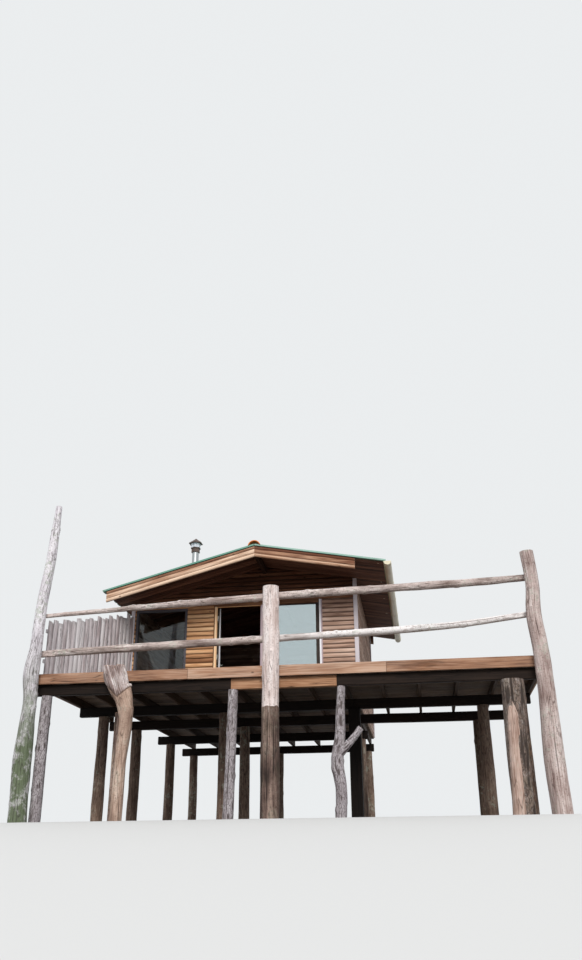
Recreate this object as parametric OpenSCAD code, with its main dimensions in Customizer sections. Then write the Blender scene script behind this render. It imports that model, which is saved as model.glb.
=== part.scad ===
// Tree house: a timber cabin with a front deck, carried by log posts and bare trunks.
// Millimetres, X to the right along the front, Y into the cabin, Z up.
// The origin is the centre of the foot of the tall post in the middle of the front.

/* [Deck] */
// Height of the deck's walking surface above the ground
deck_h = 2220; // [1600:10:3000]
// Left end of the deck, measured from the middle post
deck_left = 3850; // [3700:10:4200]
// Right end of the deck, measured from the middle post
deck_right = 4050; // [3900:10:4400]
// Thickness of the deck and floor boards
board_t = 28; // [20:1:40]
// Height of the joists
joist_h = 135; // [100:5:200]
// Width of the joists
joist_w = 50; // [40:5:80]
// Height of the beams under the joists
bearer_h = 165; // [120:5:240]
// Width of the beams under the joists
bearer_w = 100; // [80:5:140]

/* [Cabin] */
// Distance from the middle post to the front wall
wall_front_y = 3700; // [3200:10:4200]
// Depth of the cabin
cabin_d = 4500; // [3600:10:5400]
// Left corner of the cabin, measured from the middle post
cabin_left = 3480; // [3440:10:3560]
// Right corner of the cabin, measured from the middle post
cabin_right = 1090; // [1080:10:1150]
// Thickness of the log-profile walls
wall_t = 90; // [70:1:140]
// Height of one log of the cladding
log_pitch = 90; // [80:1:130]
// How far a log's round face stands out
log_bulge = 15; // [8:1:20]

/* [Openings] */
// Clear height of the doorway
door_h = 2020; // [1900:10:2080]
// Left edge of the doorway, measured from the middle post
door_left = 1725; // [1700:5:1760]
// Clear width of the doorway
door_w = 905; // [850:5:920]
// Angle at which the door stands open
door_open = 102; // [0:1:110]
// Height of the sill of the left window
sill_h = 600; // [300:10:800]
// How far the head of the left window lies below the top of the doorway
window_drop = 0; // [0:10:300]

/* [Roof] */
// Height of the ridge above the top of the doorway
gable_rise = 860; // [660:10:1160]
// Place of the ridge to the left of the middle post
ridge_left = 745; // [600:5:900]
// Fall of the left slope, as a part of its run
left_fall = 0.264; // [0.20:0.002:0.30]
// Fall of the right slope, as a part of its run
right_fall = 0.182; // [0.14:0.002:0.20]
// Front edge of the roof, measured from the middle post
roof_front_y = 2500; // [2300:10:2800]
// Overhang behind the back wall
back_overhang = 300; // [200:10:500]
// Height of the barge boards, plumb
barge_h = 216; // [160:1:260]

/* [Rails] */
// Diameter of the thick end of a rail log
rail_d = 110; // [90:1:130]
// Height of the upper rail above the deck at the middle post
upper_rail_h = 1103; // [950:1:1200]
// Height of the lower rail above the deck at the middle post
lower_rail_h = 424; // [350:1:500]

/* [Posts] */
// Diameter of the middle post
post_d = 260; // [220:2:300]
// How far the middle post stands above the deck
post_above_deck = 1207; // [1200:1:1300]

/* [Hidden] */
$fn = 48;

// Levels and places worked out from the sizes above
joist_top = deck_h - board_t;
bearer_top = joist_top - joist_h;
bearer_bottom = bearer_top - bearer_h;
fascia_y = 125;
fascia_t = 30;
joist_y = fascia_y + fascia_t;
front_bearer_y = 250;
middle_bearer_y = 2300;
cabin_front_bearer_y = 3900;
cabin_mid_bearer_y = 6000;
wall_back_y = wall_front_y + cabin_d;
cabin_back_bearer_y = wall_back_y - 150;
wall_core = wall_t - log_bulge;
ridge_z = deck_h + door_h + gable_rise;
gable_h = ridge_z - deck_h;
inner_front_y = wall_front_y + wall_t;

// Roof build-up, as plumb distances below the top of the sheet's ribs
rib_h = 28;
sheet_t = 5;
sheet_gap = 0.4;
rib_top_dz = 1.8;
boards_top_dz = -(rib_h + sheet_t);
boards_under_dz = boards_top_dz - board_t;
roof_back_y = wall_back_y + back_overhang;
roof_left_x = -(cabin_left + 180);
roof_right_x = 1700;
barge_t = 45;
barge_left_x = -(cabin_left + 150);
barge_right_x = cabin_right + 80;
joint_gap = 1;

// Flue
flue_x = -2560;
flue_y = wall_front_y + 1300;
flue_d = 150;
cowl_z = ridge_z + 805;

// Ends of the new piece of the front beam
new_bearer_left = -650;
new_bearer_right = 980;

// Door and window places
door_right_x = -door_left + door_w;
frame_left_x = -door_left - 55;
frame_right_x = 410;
mullion_w = 50;
frame_y = wall_front_y - 10;
frame_d = wall_t + 10;
frame_sill_t = 30;
head_h = 62;
window_head = door_h - window_drop;
window_left_x = -(cabin_left - 80);
window_right_x = -2330;
leaf_clear = 6;
leaf_t = 45;
leaf_w = door_w - 2 * leaf_clear;
leaf_h = door_h - frame_sill_t - 2 * leaf_clear;
hinge_x = -door_left + 3;
leaf_x = leaf_clear - 3;
hinge_off = 11;
hinge_y = frame_y + frame_d + hinge_off;
leaf_y = -hinge_off - leaf_t;
hinge_zs = [160, leaf_h / 2 - 50, leaf_h - 260];
knuckle_d = 16;
knuckle_h = 50;
pin_d = 8;
run_gap = 0.4;
stile_w = 90;
glass_t = 12;
jamb_right = 75;
stop_w = 12;
stop_y = 16;
stop_d = 30;

// Height of the roof at x, dz above the top of the ribs
function roof_z(x, dz) = ridge_z + dz
    - (x < -ridge_left ? left_fall * (-ridge_left - x) : right_fall * (x + ridge_left));

// Outer face of a stack of logs, seen from its end, as [out, up] points
function log_face(count, pitch, bulge, steps) = concat(
    [for (i = [0:count - 1]) for (s = [0:steps - 1])
        [-bulge * sin(180 * s / steps), pitch * (i + s / steps)]],
    [[0, pitch * count]]);

// Turns the Z axis into the direction v
function turn_to(v) = [0, acos(v[2] / norm(v)), atan2(v[1], v[0])];

// A tapered log from point a to point b
module log_piece(a, b, d1, d2) {
    translate(a) rotate(turn_to(b - a)) cylinder(h = norm(b - a), d1 = d1, d2 = d2);
}

// A log that bends at the points between its ends, with a thicker knot ring at each bend
module log_run(points, widths) {
    for (i = [0:len(points) - 2])
        log_piece(points[i], points[i + 1], widths[i], widths[i + 1]);
    for (i = [1:1:len(points) - 2]) {
        ring_h = 0.4 * widths[i];
        translate(points[i]) rotate(turn_to(points[i + 1] - points[i - 1]))
            translate([0, 0, -ring_h / 2]) cylinder(h = ring_h, d = 1.08 * widths[i]);
    }
}

// Everything below the ground
module ground() {
    translate([-6000, -2000, -1000]) cube([12000, 12000, 1000]);
}

// Everything above the roof boards' underside, shifted up by dz
module above_roof(dz) {
    far = 6000;
    translate([0, 12000, 0]) rotate([90, 0, 0]) linear_extrude(height = 13000)
        polygon([[-ridge_left, roof_z(-ridge_left, dz)], [-far, roof_z(-far, dz)],
            [-far, ridge_z + 2000], [far, ridge_z + 2000], [far, roof_z(far, dz)]]);
}

// A layer of the roof between two plumb offsets
module roof_layer(x0, x1, low, high, y0, y1) {
    translate([0, y1, 0]) rotate([90, 0, 0]) linear_extrude(height = y1 - y0)
        polygon([[x0, roof_z(x0, low)], [-ridge_left, roof_z(-ridge_left, low)],
            [x1, roof_z(x1, low)], [x1, roof_z(x1, high)],
            [-ridge_left, roof_z(-ridge_left, high)], [x0, roof_z(x0, high)]]);
}

// Rail logs before their seats are cut; both ends reach the trunks
left_rail_x = -(deck_left - 50);
right_rail_x = deck_right + 30;
module upper_left_log() {
    log_run([[left_rail_x, 100, deck_h + 932], [-2500, 130, deck_h + 998],
        [-1500, 146, deck_h + 1043], [0, 165, deck_h + upper_rail_h]], [60, 78, 102, rail_d]);
}
module upper_right_log() {
    log_run([[0, 165, deck_h + upper_rail_h], [1500, 162, deck_h + 1136],
        [3400, 155, deck_h + 1178], [right_rail_x, 150, deck_h + 1208]], [rail_d, 116, 116, 102]);
}
module lower_left_log() {
    log_run([[left_rail_x - 60, 130, deck_h + 314], [-2500, 142, deck_h + 360],
        [0, 165, deck_h + lower_rail_h]], [104, 110, rail_d]);
}
module lower_right_log() {
    log_run([[0, 165, deck_h + lower_rail_h], [2000, 152, deck_h + 474],
        [2800, 150, deck_h + 510], [right_rail_x, 155, deck_h + 645]], [rail_d, 112, 104, 94]);
}

// Where each rail is seated on a post: the seat's X, its flat's Y and its height
left_upper_seat = [left_rail_x + 20, 78, deck_h + 934];
left_lower_seat = [left_rail_x + 10, 98, deck_h + 316];
mid_upper_seat = [0, 114, deck_h + upper_rail_h];
mid_lower_seat = [0, 114, deck_h + lower_rail_h];
right_upper_seat = [right_rail_x - 80, 106, deck_h + 1206];
right_lower_seat = [right_rail_x - 80, 116, deck_h + 638];
seat_h = 150;

// The flat that a seat cuts into the back of a post
module post_seat(seat) {
    translate([seat[0] - 300, seat[1], seat[2] - seat_h / 2]) cube([600, 300, seat_h]);
}

// The flat that a seat cuts into the front of a rail
module rail_seat(seat) {
    translate([seat[0] - 300, seat[1] - 300, seat[2] - seat_h]) cube([600, 300, 2 * seat_h]);
}

// The place that the deck's edge takes out of a front post
module deck_edge_seat() {
    translate([-deck_left - 300, fascia_y, bearer_bottom - 2])
        cube([deck_left + deck_right + 600, 400, deck_h - bearer_bottom + 4]);
}

module central_post() {
    peel_z = 1560;
    color("tan") difference() {
        union() {
            cylinder(h = peel_z, d1 = post_d + 30, d2 = post_d + 22);
            translate([0, 0, peel_z])
                cylinder(h = deck_h + post_above_deck - peel_z, d1 = post_d + 4, d2 = post_d - 4);
        }
        post_seat(mid_upper_seat);
        post_seat(mid_lower_seat);
        deck_edge_seat();
    }
}

// A flat piece of a log, level with the ground
module slice(x, z, d) {
    slice_h = 20;
    translate([x, 32, z]) cylinder(h = slice_h, d = d, $fn = 32);
}

// A log post that forks near its top into a leaning arm, a stub and a split head
module flared_post() {
    trunk_x = -2228;
    fork_z = deck_h - 620;
    fork_d = 222;
    arm_z = fork_z + 340;
    head_z = arm_z + 330;
    color("rosybrown") difference() {
        union() {
            log_run([[-2280, 32, -50], [-2262, 32, 900], [trunk_x, 32, fork_z + 10]],
                [190, 180, fork_d]);
            hull() {
                slice(trunk_x, fork_z, fork_d);
                slice(-2458, arm_z, 194);
            }
            hull() {
                slice(-2458, arm_z, 194);
                slice(-2556, head_z, 190);
            }
            hull() {
                slice(trunk_x, fork_z, fork_d);
                slice(-2262, arm_z + 45, 160);
            }
            hull() {
                slice(-2300, arm_z - 100, 200);
                slice(-2386, head_z, 166);
            }
            hull() {
                slice(-2300, arm_z - 100, 200);
                slice(-2458, arm_z, 194);
                slice(-2470, head_z - 60, 170);
            }
        }
        translate([-2460, -200, head_z - 10]) rotate([0, 45, 0]) cube([90, 500, 90]);
        deck_edge_seat();
        ground();
    }
}

module left_trunk() {
    color("gainsboro") difference() {
        translate([-deck_left, 0, 0])
            log_run([[80, 0, -60], [50, 0, 1200], [50, 0, 2150], [85, -5, 3300],
                [150, 0, 4050], [190, 0, 5040]], [290, 280, 240, 180, 165, 100]);
        post_seat(left_upper_seat);
        post_seat(left_lower_seat);
        deck_edge_seat();
        ground();
    }
}

module right_trunk() {
    color("rosybrown") difference() {
        translate([deck_right, 0, 0])
            log_run([[-30, 0, -60], [-50, 0, 750], [-40, 0, 1650], [-50, 5, 2300],
                [-85, 10, 2830], [-55, 10, 3250], [-84, 5, 3785]],
                [300, 300, 250, 236, 236, 200, 215]);
        post_seat(right_upper_seat);
        post_seat(right_lower_seat);
        deck_edge_seat();
        ground();
    }
}

// A thick trunk split down its face, with bark left on one side
module split_post() {
    bark_h = bearer_bottom - 60;
    color("peru") translate([deck_right, front_bearer_y, 0]) difference() {
        union() {
            translate([-490, 0, 0]) cylinder(h = bearer_bottom, d1 = 330, d2 = 350);
            translate([-355, 0, 0]) cylinder(h = bark_h, d1 = 120, d2 = 110);
        }
        translate([-570, -210, 300]) rotate([0, 0, -12]) cube([190, 70, bearer_bottom]);
        translate([-630, -140, -10]) rotate([0, 0, 20]) cube([40, 40, bearer_bottom + 20]);
    }
}

module left_corner_post() {
    color("gray") difference() {
        log_run([[-3610, 250, -50], [-3618, 250, 900], [-3612, 250, bearer_bottom + 40]],
            [185, 172, 168]);
        translate([-4000, 0, bearer_bottom]) cube([800, 600, 400]);
        ground();
    }
}

module bark_post() {
    color("gray") difference() {
        log_run([[-665, 250, -50], [-640, 250, 1100], [-622, 250, bearer_bottom + 40]],
            [165, 152, 148]);
        translate([-1000, 0, bearer_bottom]) cube([800, 600, 400]);
        ground();
    }
}

// The crooked post under the right end of the new beam, with the stub of a branch
module crooked_post() {
    color("gray") difference() {
        union() {
            log_run([[985, 250, -50], [1000, 250, 420], [955, 250, 830], [1010, 250, 1190],
                [1040, 250, bearer_bottom + 40]], [160, 165, 175, 150, 118]);
            log_piece([980, 250, 940], [1325, 240, 1275], 112, 84);
        }
        translate([700, 0, bearer_bottom]) cube([800, 600, 400]);
        ground();
    }
}

// One round post that carries a beam behind the front
module round_post(x, y) {
    translate([x, y, 0]) cylinder(h = bearer_bottom, d1 = 210, d2 = 190);
}

module rear_posts() {
    square_w = 200;
    square_x = cabin_right - 110;
    right_x = deck_right - 800;
    color("dimgray") {
        for (x = [-(deck_left - 450), -1200, right_x]) round_post(x, middle_bearer_y);
        translate([square_x, middle_bearer_y - square_w / 2, 0])
            cube([square_w, square_w, bearer_bottom]);
        for (x = [-(cabin_left - 180), -1150, cabin_right - 90, right_x])
            round_post(x, cabin_front_bearer_y);
    }
}

module cabin_posts() {
    color("dimgray")
        for (x = [-(cabin_left - 280), -1130, cabin_right - 150],
            y = [cabin_mid_bearer_y, cabin_back_bearer_y]) round_post(x, y);
}

// One beam along X
module beam(x0, x1, y) {
    translate([x0, y - bearer_w / 2, bearer_bottom]) cube([x1 - x0, bearer_w, bearer_h]);
}

module old_front_bearer() {
    color("saddlebrown") {
        beam(-deck_left, new_bearer_left - 3, front_bearer_y);
        beam(new_bearer_right + 3, deck_right, front_bearer_y);
    }
}

module new_front_bearer() {
    color("burlywood") beam(new_bearer_left, new_bearer_right, front_bearer_y);
}

module rear_bearers() {
    color("saddlebrown") {
        beam(-deck_left, deck_right, middle_bearer_y);
        beam(-deck_left, deck_right, cabin_front_bearer_y);
        beam(-cabin_left, cabin_right, cabin_mid_bearer_y);
        beam(-cabin_left, cabin_right, cabin_back_bearer_y);
    }
}

module joists() {
    count = 14;
    first = -deck_left;
    step = (deck_left + deck_right - joist_w) / (count - 1);
    color("saddlebrown") for (i = [0:count - 1]) {
        x = first + i * step;
        under_cabin = x > -cabin_left - 1 && x < cabin_right - joist_w + 1;
        back = under_cabin ? wall_back_y : cabin_front_bearer_y + bearer_w / 2;
        translate([x, joist_y, bearer_top]) cube([joist_w, back - joist_y, joist_h]);
    }
}

module front_fascia() {
    color("peru") translate([-deck_left, fascia_y, bearer_top])
        cube([deck_left + deck_right, fascia_t, deck_h - bearer_top]);
}

module end_fascias() {
    color("peru") for (x = [-deck_left - fascia_t, deck_right])
        translate([x, fascia_y, bearer_top])
            cube([fascia_t, cabin_front_bearer_y + bearer_w / 2 - fascia_y, deck_h - bearer_top]);
}

// The deck, which also runs back beside the cabin as far as its own rear beam
module deck_boards() {
    back = cabin_front_bearer_y + bearer_w / 2;
    color("burlywood") difference() {
        translate([-deck_left, joist_y, joist_top])
            cube([deck_left + deck_right, back - joist_y, board_t]);
        translate([-cabin_left, wall_front_y, joist_top - 1])
            cube([cabin_left + cabin_right, cabin_d, board_t + 2]);
    }
}

module upper_rail_left() {
    color("rosybrown") difference() {
        upper_left_log();
        rail_seat(left_upper_seat);
        rail_seat(mid_upper_seat);
        translate([0, 0, deck_h]) cube([300, 400, 2000]);
    }
}
module upper_rail_right() {
    color("rosybrown") difference() {
        upper_right_log();
        rail_seat(mid_upper_seat);
        rail_seat(right_upper_seat);
        translate([-300, 0, deck_h]) cube([300, 400, 2000]);
    }
}
module lower_rail_left() {
    color("rosybrown") difference() {
        lower_left_log();
        rail_seat(left_lower_seat);
        rail_seat(mid_lower_seat);
        translate([0, 0, deck_h]) cube([300, 400, 2000]);
    }
}
module lower_rail_right() {
    color("rosybrown") difference() {
        lower_right_log();
        rail_seat(mid_lower_seat);
        rail_seat(right_lower_seat);
        translate([-300, 0, deck_h]) cube([300, 400, 2000]);
    }
}

// Upright waney slabs along the left edge of the deck, rising towards the cabin
module slab_screen() {
    start = [55 - deck_left, joist_y + 265];
    end = [-(cabin_left - 50), wall_front_y - 60];
    slab_t = 26;
    slab_gap = 5;
    low_h = 940;
    rise = 930;
    count = 21;
    run = end - start;
    length = norm(run);
    slab_w = length / count;
    ledger = [40, 60];
    color("gray") translate([start[0], start[1], deck_h]) rotate([0, 0, atan2(run[1], run[0])]) {
        for (i = [0:count - 1]) {
            height = low_h + rise * i / (count - 1) + 35 * sin(i * 137);
            translate([i * slab_w, -slab_t / 2, 0]) cube([slab_w - slab_gap, slab_t, height]);
        }
        for (z = [250, 750])
            translate([0, slab_t / 2, z]) cube([length - slab_gap, ledger[0], ledger[1]]);
    }
}

module cabin_floor() {
    color("burlywood") translate([-cabin_left, wall_front_y, joist_top])
        cube([cabin_left + cabin_right, cabin_d, board_t]);
}

// A log-profile wall along X with its round face towards -Y, its outside at y = 0
module front_log_wall(x0, x1, height) {
    count = ceil(height / log_pitch);
    translate([x0, log_bulge, 0]) rotate([90, 0, 90]) linear_extrude(height = x1 - x0)
        polygon(concat(log_face(count, log_pitch, log_bulge, 5),
            [[wall_core, count * log_pitch], [wall_core, 0]]));
}

// The whole front wall before its openings are cut
module front_wall_blank() {
    difference() {
        translate([0, wall_front_y, deck_h])
            front_log_wall(-cabin_left, cabin_right, gable_h);
        above_roof(boards_under_dz);
        ridge_beam_seat();
    }
}

module front_wall_part(x0, x1, z0, z1) {
    intersection() {
        front_wall_blank();
        translate([x0, wall_front_y - 50, deck_h + z0]) cube([x1 - x0, 300, z1 - z0]);
    }
}

module front_wall_left() {
    color("chocolate") difference() {
        front_wall_part(-cabin_left, window_right_x, 0, door_h + head_h);
        translate([window_left_x, wall_front_y - 50, deck_h + sill_h])
            cube([window_right_x - window_left_x + 10, 300, window_head - sill_h]);
    }
}
module front_wall_middle() {
    color("chocolate") front_wall_part(window_right_x, frame_left_x, 0, door_h + head_h);
}
module front_wall_right() {
    color("sienna") front_wall_part(frame_right_x, cabin_right, 0, door_h + head_h);
}
module front_gable() {
    color("chocolate") front_wall_part(-cabin_left, cabin_right, door_h + head_h, gable_h);
}

// A side wall along Y; the left one is the right one turned round
module side_log_wall(length, height) {
    count = ceil(height / log_pitch);
    translate([-log_bulge, length, 0]) rotate([90, 0, 0]) linear_extrude(height = length)
        polygon(concat([for (p = log_face(count, log_pitch, log_bulge, 5)) [-p[0], p[1]]],
            [[-wall_core, count * log_pitch], [-wall_core, 0]]));
}

module left_wall() {
    length = cabin_d - 2 * wall_t;
    color("sienna") difference() {
        translate([-cabin_left, inner_front_y + length, deck_h]) rotate([0, 0, 180])
            side_log_wall(length, gable_h);
        above_roof(boards_under_dz);
    }
}
module right_wall() {
    length = cabin_d - 2 * wall_t;
    color("sienna") difference() {
        translate([cabin_right, inner_front_y, deck_h]) side_log_wall(length, gable_h);
        above_roof(boards_under_dz);
    }
}
module back_wall() {
    color("sienna") difference() {
        translate([cabin_right - cabin_left, wall_back_y, deck_h]) rotate([0, 0, 180])
            front_log_wall(-cabin_left, cabin_right, gable_h);
        above_roof(boards_under_dz);
        ridge_beam_seat();
    }
}

// Boards that cover the ends of the cladding at the four corners
module corner_boards() {
    board_w = 55;
    thick = 22;
    color("lightgray") difference() {
        union() {
            for (y = [wall_front_y - thick, wall_back_y]) {
                translate([-cabin_left - thick, y, deck_h]) cube([board_w + thick, thick, gable_h]);
                translate([cabin_right - board_w, y, deck_h])
                    cube([board_w + thick, thick, gable_h]);
            }
            for (y = [wall_front_y, wall_back_y - board_w]) {
                translate([-cabin_left - thick, y, deck_h]) cube([thick, board_w, gable_h]);
                translate([cabin_right, y, deck_h]) cube([thick, board_w, gable_h]);
            }
        }
        above_roof(boards_under_dz);
    }
}

module window_frame() {
    frame_w = 45;
    width = window_right_x - window_left_x;
    height = window_head - sill_h;
    color("dimgray") difference() {
        translate([window_left_x, wall_front_y + 5, deck_h + sill_h]) cube([width, 80, height]);
        translate([window_left_x + frame_w, wall_front_y - 5, deck_h + sill_h + frame_w])
            cube([width - 2 * frame_w, 100, height - 2 * frame_w]);
    }
}

// The frame of the doorway and of the fixed pane beside it
module door_frame() {
    color("wheat") {
        difference() {
            translate([frame_left_x, frame_y, deck_h])
                cube([frame_right_x - frame_left_x, frame_d, door_h + head_h]);
            translate([-door_left, frame_y - 5, deck_h + frame_sill_t])
                cube([door_w, frame_d + 10, door_h - frame_sill_t]);
            translate([door_right_x + mullion_w, frame_y - 5, deck_h + frame_sill_t])
                cube([frame_right_x - jamb_right - door_right_x - mullion_w, frame_d + 10,
                    door_h - frame_sill_t]);
        }
        difference() {
            translate([-door_left, frame_y + stop_y, deck_h + frame_sill_t])
                cube([door_w, stop_d, door_h - frame_sill_t]);
            translate([-door_left + stop_w, frame_y, deck_h])
                cube([door_w - 2 * stop_w, frame_d, door_h - stop_w]);
        }
        translate([hinge_x, hinge_y, deck_h + frame_sill_t + leaf_clear]) for (z = hinge_zs)
            translate([0, 0, z]) fixed_hinge();
    }
}

// The frame's half of a hinge: a plate on the jamb, a knuckle and the pin
module fixed_hinge() {
    cylinder(h = knuckle_h, d = knuckle_d);
    cylinder(h = 2 * knuckle_h + run_gap, d = pin_d);
    translate([-36, -hinge_off, 0]) cube([36, 6, knuckle_h]);
}

// The leaf's half of a hinge, above the frame's knuckle
module moving_hinge() {
    translate([0, 0, knuckle_h + run_gap]) difference() {
        union() {
            cylinder(h = knuckle_h - run_gap, d = knuckle_d);
            translate([0, -hinge_off, 0]) cube([40, 8, knuckle_h - run_gap]);
        }
        translate([0, 0, -1]) cylinder(h = knuckle_h + 2, d = pin_d + 2 * run_gap);
    }
}

// Clear glass of the left window and of the pane beside the door
module fixed_glass() {
    edge = 45;
    color("lightblue") {
        translate([window_left_x + edge, wall_front_y + 40, deck_h + sill_h + edge])
            cube([window_right_x - window_left_x - 2 * edge, glass_t,
                window_head - sill_h - 2 * edge]);
        translate([door_right_x + mullion_w, wall_front_y + 40, deck_h + frame_sill_t])
            cube([frame_right_x - jamb_right - door_right_x - mullion_w, glass_t,
                door_h - frame_sill_t]);
    }
}

// Places its children, drawn for the closed door, at the open angle about the hinge
module on_door() {
    translate([hinge_x, hinge_y, deck_h + frame_sill_t + leaf_clear])
        rotate([0, 0, door_open]) children();
}

module door_leaf() {
    color("white") on_door() {
        difference() {
            translate([leaf_x, leaf_y, 0]) cube([leaf_w, leaf_t, leaf_h]);
            translate([leaf_x + stile_w, leaf_y - 10, stile_w + 60])
                cube([leaf_w - 2 * stile_w, leaf_t + 20, leaf_h - 2 * stile_w - 60]);
            for (z = hinge_zs)
                translate([0, 0, z - 1]) cylinder(h = 2 * knuckle_h + 2, d = knuckle_d + 8);
        }
        for (z = hinge_zs) translate([0, 0, z]) moving_hinge();
    }
}

module door_glass() {
    color("lightblue") on_door()
        translate([leaf_x + stile_w, leaf_y + (leaf_t - glass_t) / 2, stile_w + 60])
            cube([leaf_w - 2 * stile_w, glass_t, leaf_h - 2 * stile_w - 60]);
}

module door_handle() {
    grip_x = leaf_w - 42;
    grip_z = 1000;
    color("silver") on_door() {
        for (side = [0, 1]) {
            face_y = side == 0 ? leaf_y + leaf_t : leaf_y;
            out = side == 0 ? 1 : -1;
            translate([grip_x, face_y, grip_z]) rotate([-90 * out, 0, 0]) {
                cylinder(h = 8, d = 44);
                cylinder(h = 42, d = 16);
            }
            translate([grip_x - 110, face_y + out * 42, grip_z]) rotate([0, 90, 0])
                cylinder(h = 118, d = 16);
        }
    }
}

// The beam under the ridge, let into both gables
module ridge_beam_seat() {
    beam_w = 70;
    beam_h = 150;
    front = roof_front_y + barge_t;
    back = roof_back_y - barge_t;
    translate([-ridge_left - beam_w / 2, front, roof_z(-ridge_left, boards_under_dz) - beam_h])
        cube([beam_w, back - front, beam_h + 20]);
}

module ridge_beam() {
    color("saddlebrown") difference() {
        ridge_beam_seat();
        above_roof(boards_under_dz);
    }
}

module flue_hole() {
    translate([flue_x, flue_y, deck_h + door_h]) cylinder(h = gable_rise, d = flue_d + 20);
}

module roof_boards() {
    color("maroon") difference() {
        roof_layer(roof_left_x, roof_right_x, boards_under_dz, boards_top_dz,
            roof_front_y + barge_t, roof_back_y - barge_t);
        flue_hole();
    }
}

// Ribbed sheet, seen from its eave end: pans between ribs, with half a rib and a lip at each end
rib_pitch = 207;
rib_half = 20;
rib_foot = 40;
function pan(y) = [[y + rib_half, rib_h], [y + rib_foot, 0], [y + rib_pitch - rib_foot, 0],
    [y + rib_pitch - rib_half, rib_h]];
module sheet_profile(count) {
    span = count * rib_pitch;
    path = [for (i = [0:count - 1]) for (p = pan(i * rib_pitch)) p];
    top = rib_h + sheet_t;
    polygon(concat([[0, 0], [0, top]], [for (p = path) [p[0], p[1] + sheet_t]],
        [[span, top], [span, 0], [span - sheet_t, 0], [span - sheet_t, rib_h]],
        [for (i = [len(path) - 1:-1:0]) path[i]], [[sheet_t, rib_h], [sheet_t, 0]]));
}

module one_slope(angle, run) {
    count = round((roof_back_y - roof_front_y + 40) / rib_pitch);
    translate([-ridge_left, roof_front_y - 20, roof_z(-ridge_left, boards_top_dz) + sheet_gap])
        rotate([0, angle, 0]) translate([joint_gap, 0, 0]) rotate([90, 0, 90])
            linear_extrude(height = run - joint_gap) sheet_profile(count);
}

module roof_sheets() {
    left_angle = atan(left_fall);
    right_angle = atan(right_fall);
    left_run = (-ridge_left - roof_left_x + 40) / cos(left_angle);
    right_run = (roof_right_x + 45 + ridge_left) / cos(right_angle);
    color("mediumseagreen") difference() {
        union() {
            one_slope(right_angle, right_run);
            translate([-2 * ridge_left, 0, 0]) mirror([1, 0, 0]) one_slope(left_angle, left_run);
        }
        flue_hole();
    }
}

// Barge board made of three log-profile strips, seen from its end
strips = [63, 88, 58];
function strip_points(z, h) = [for (s = [0:5]) [-14 * sin(180 * s / 6), z + h * s / 6]];
module barge_profile() {
    flat_t = barge_t - 14;
    total = strips[0] + strips[1] + strips[2];
    translate([14, 0]) polygon(concat(strip_points(0, strips[0]), strip_points(strips[0], strips[1]),
        strip_points(strips[0] + strips[1], strips[2]), [[0, total], [flat_t, total], [flat_t, 0]]));
}

module barge_slope(angle, run) {
    translate([-ridge_left, 0, roof_z(-ridge_left, boards_top_dz) - barge_h])
        rotate([0, angle, 0]) translate([-80, 0, 0])
            rotate([90, 0, 90]) linear_extrude(height = run + 160) barge_profile();
}

// Cuts a barge board off plumb, from x to the right
module plumb_cut(x) {
    cut_w = 500;
    translate([x, -100, deck_h]) cube([cut_w, 300, ridge_z]);
}

module right_barge() {
    difference() {
        barge_slope(atan(right_fall), barge_right_x + ridge_left);
        translate([-2 * ridge_left, 0, 0]) mirror([1, 0, 0]) plumb_cut(-ridge_left - joint_gap);
        plumb_cut(barge_right_x);
        translate([0, -100, 0]) above_roof(boards_top_dz);
    }
}
module left_barge() {
    difference() {
        translate([-2 * ridge_left, 0, 0]) mirror([1, 0, 0])
            barge_slope(atan(left_fall), -ridge_left - barge_left_x);
        plumb_cut(-ridge_left - joint_gap);
        mirror([1, 0, 0]) plumb_cut(-barge_left_x);
        translate([0, -100, 0]) above_roof(boards_top_dz);
    }
}
module barge_pair() {
    right_barge();
    left_barge();
}

module barge_boards() {
    color("sienna") {
        translate([0, roof_front_y, 0]) barge_pair();
        translate([0, roof_back_y, 0]) mirror([0, 1, 0]) barge_pair();
    }
}

// Half-round clay tiles along the ridge, resting on the ribs of the sheets
module ridge_tiles() {
    outer_d = 250;
    inner_d = 216;
    centre_z = ridge_z - 60;
    length = roof_back_y - roof_front_y + 90;
    color("orangered") difference() {
        translate([-ridge_left, roof_front_y - 45, centre_z]) rotate([-90, 0, 0])
            cylinder(h = length, d = outer_d);
        translate([-ridge_left, roof_front_y - 60, centre_z]) rotate([-90, 0, 0])
            cylinder(h = length + 30, d = inner_d);
        roof_top_wedge();
    }
}

// Everything under the tops of the ribs
module roof_top_wedge() {
    far = 6000;
    translate([0, 12000, 0]) rotate([90, 0, 0]) linear_extrude(height = 13000)
        polygon([[-far, roof_z(-far, rib_top_dz)], [-ridge_left, roof_z(-ridge_left, rib_top_dz)],
            [far, roof_z(far, rib_top_dz)], [far, deck_h], [-far, deck_h]]);
}

// Half-round gutter along the right eave, in brackets on the ends of the roof boards
module gutter() {
    outer_d = 142;
    wall = 4;
    centre_x = roof_right_x + 6 + outer_d / 2;
    rim_z = roof_z(roof_right_x, boards_top_dz) - 16;
    y0 = roof_front_y - 30;
    length = roof_back_y - roof_front_y + 60;
    color("antiquewhite") difference() {
        union() {
            translate([centre_x, y0, rim_z]) rotate([-90, 0, 0])
                cylinder(h = length, d = outer_d);
            for (i = [0:5])
                translate([centre_x, y0 + 120 + i * (length - 270) / 5, rim_z])
                    rotate([-90, 0, 0]) cylinder(h = 30, d = outer_d + 12);
        }
        translate([centre_x, y0 - 10, rim_z]) rotate([-90, 0, 0])
            cylinder(h = length + 20, d = outer_d - 2 * wall);
        translate([roof_right_x - 200, y0 - 50, rim_z]) cube([500, length + 100, 300]);
        translate([roof_right_x - 300, y0 - 50, rim_z - 300]) cube([300, length + 100, 400]);
    }
}

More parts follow.
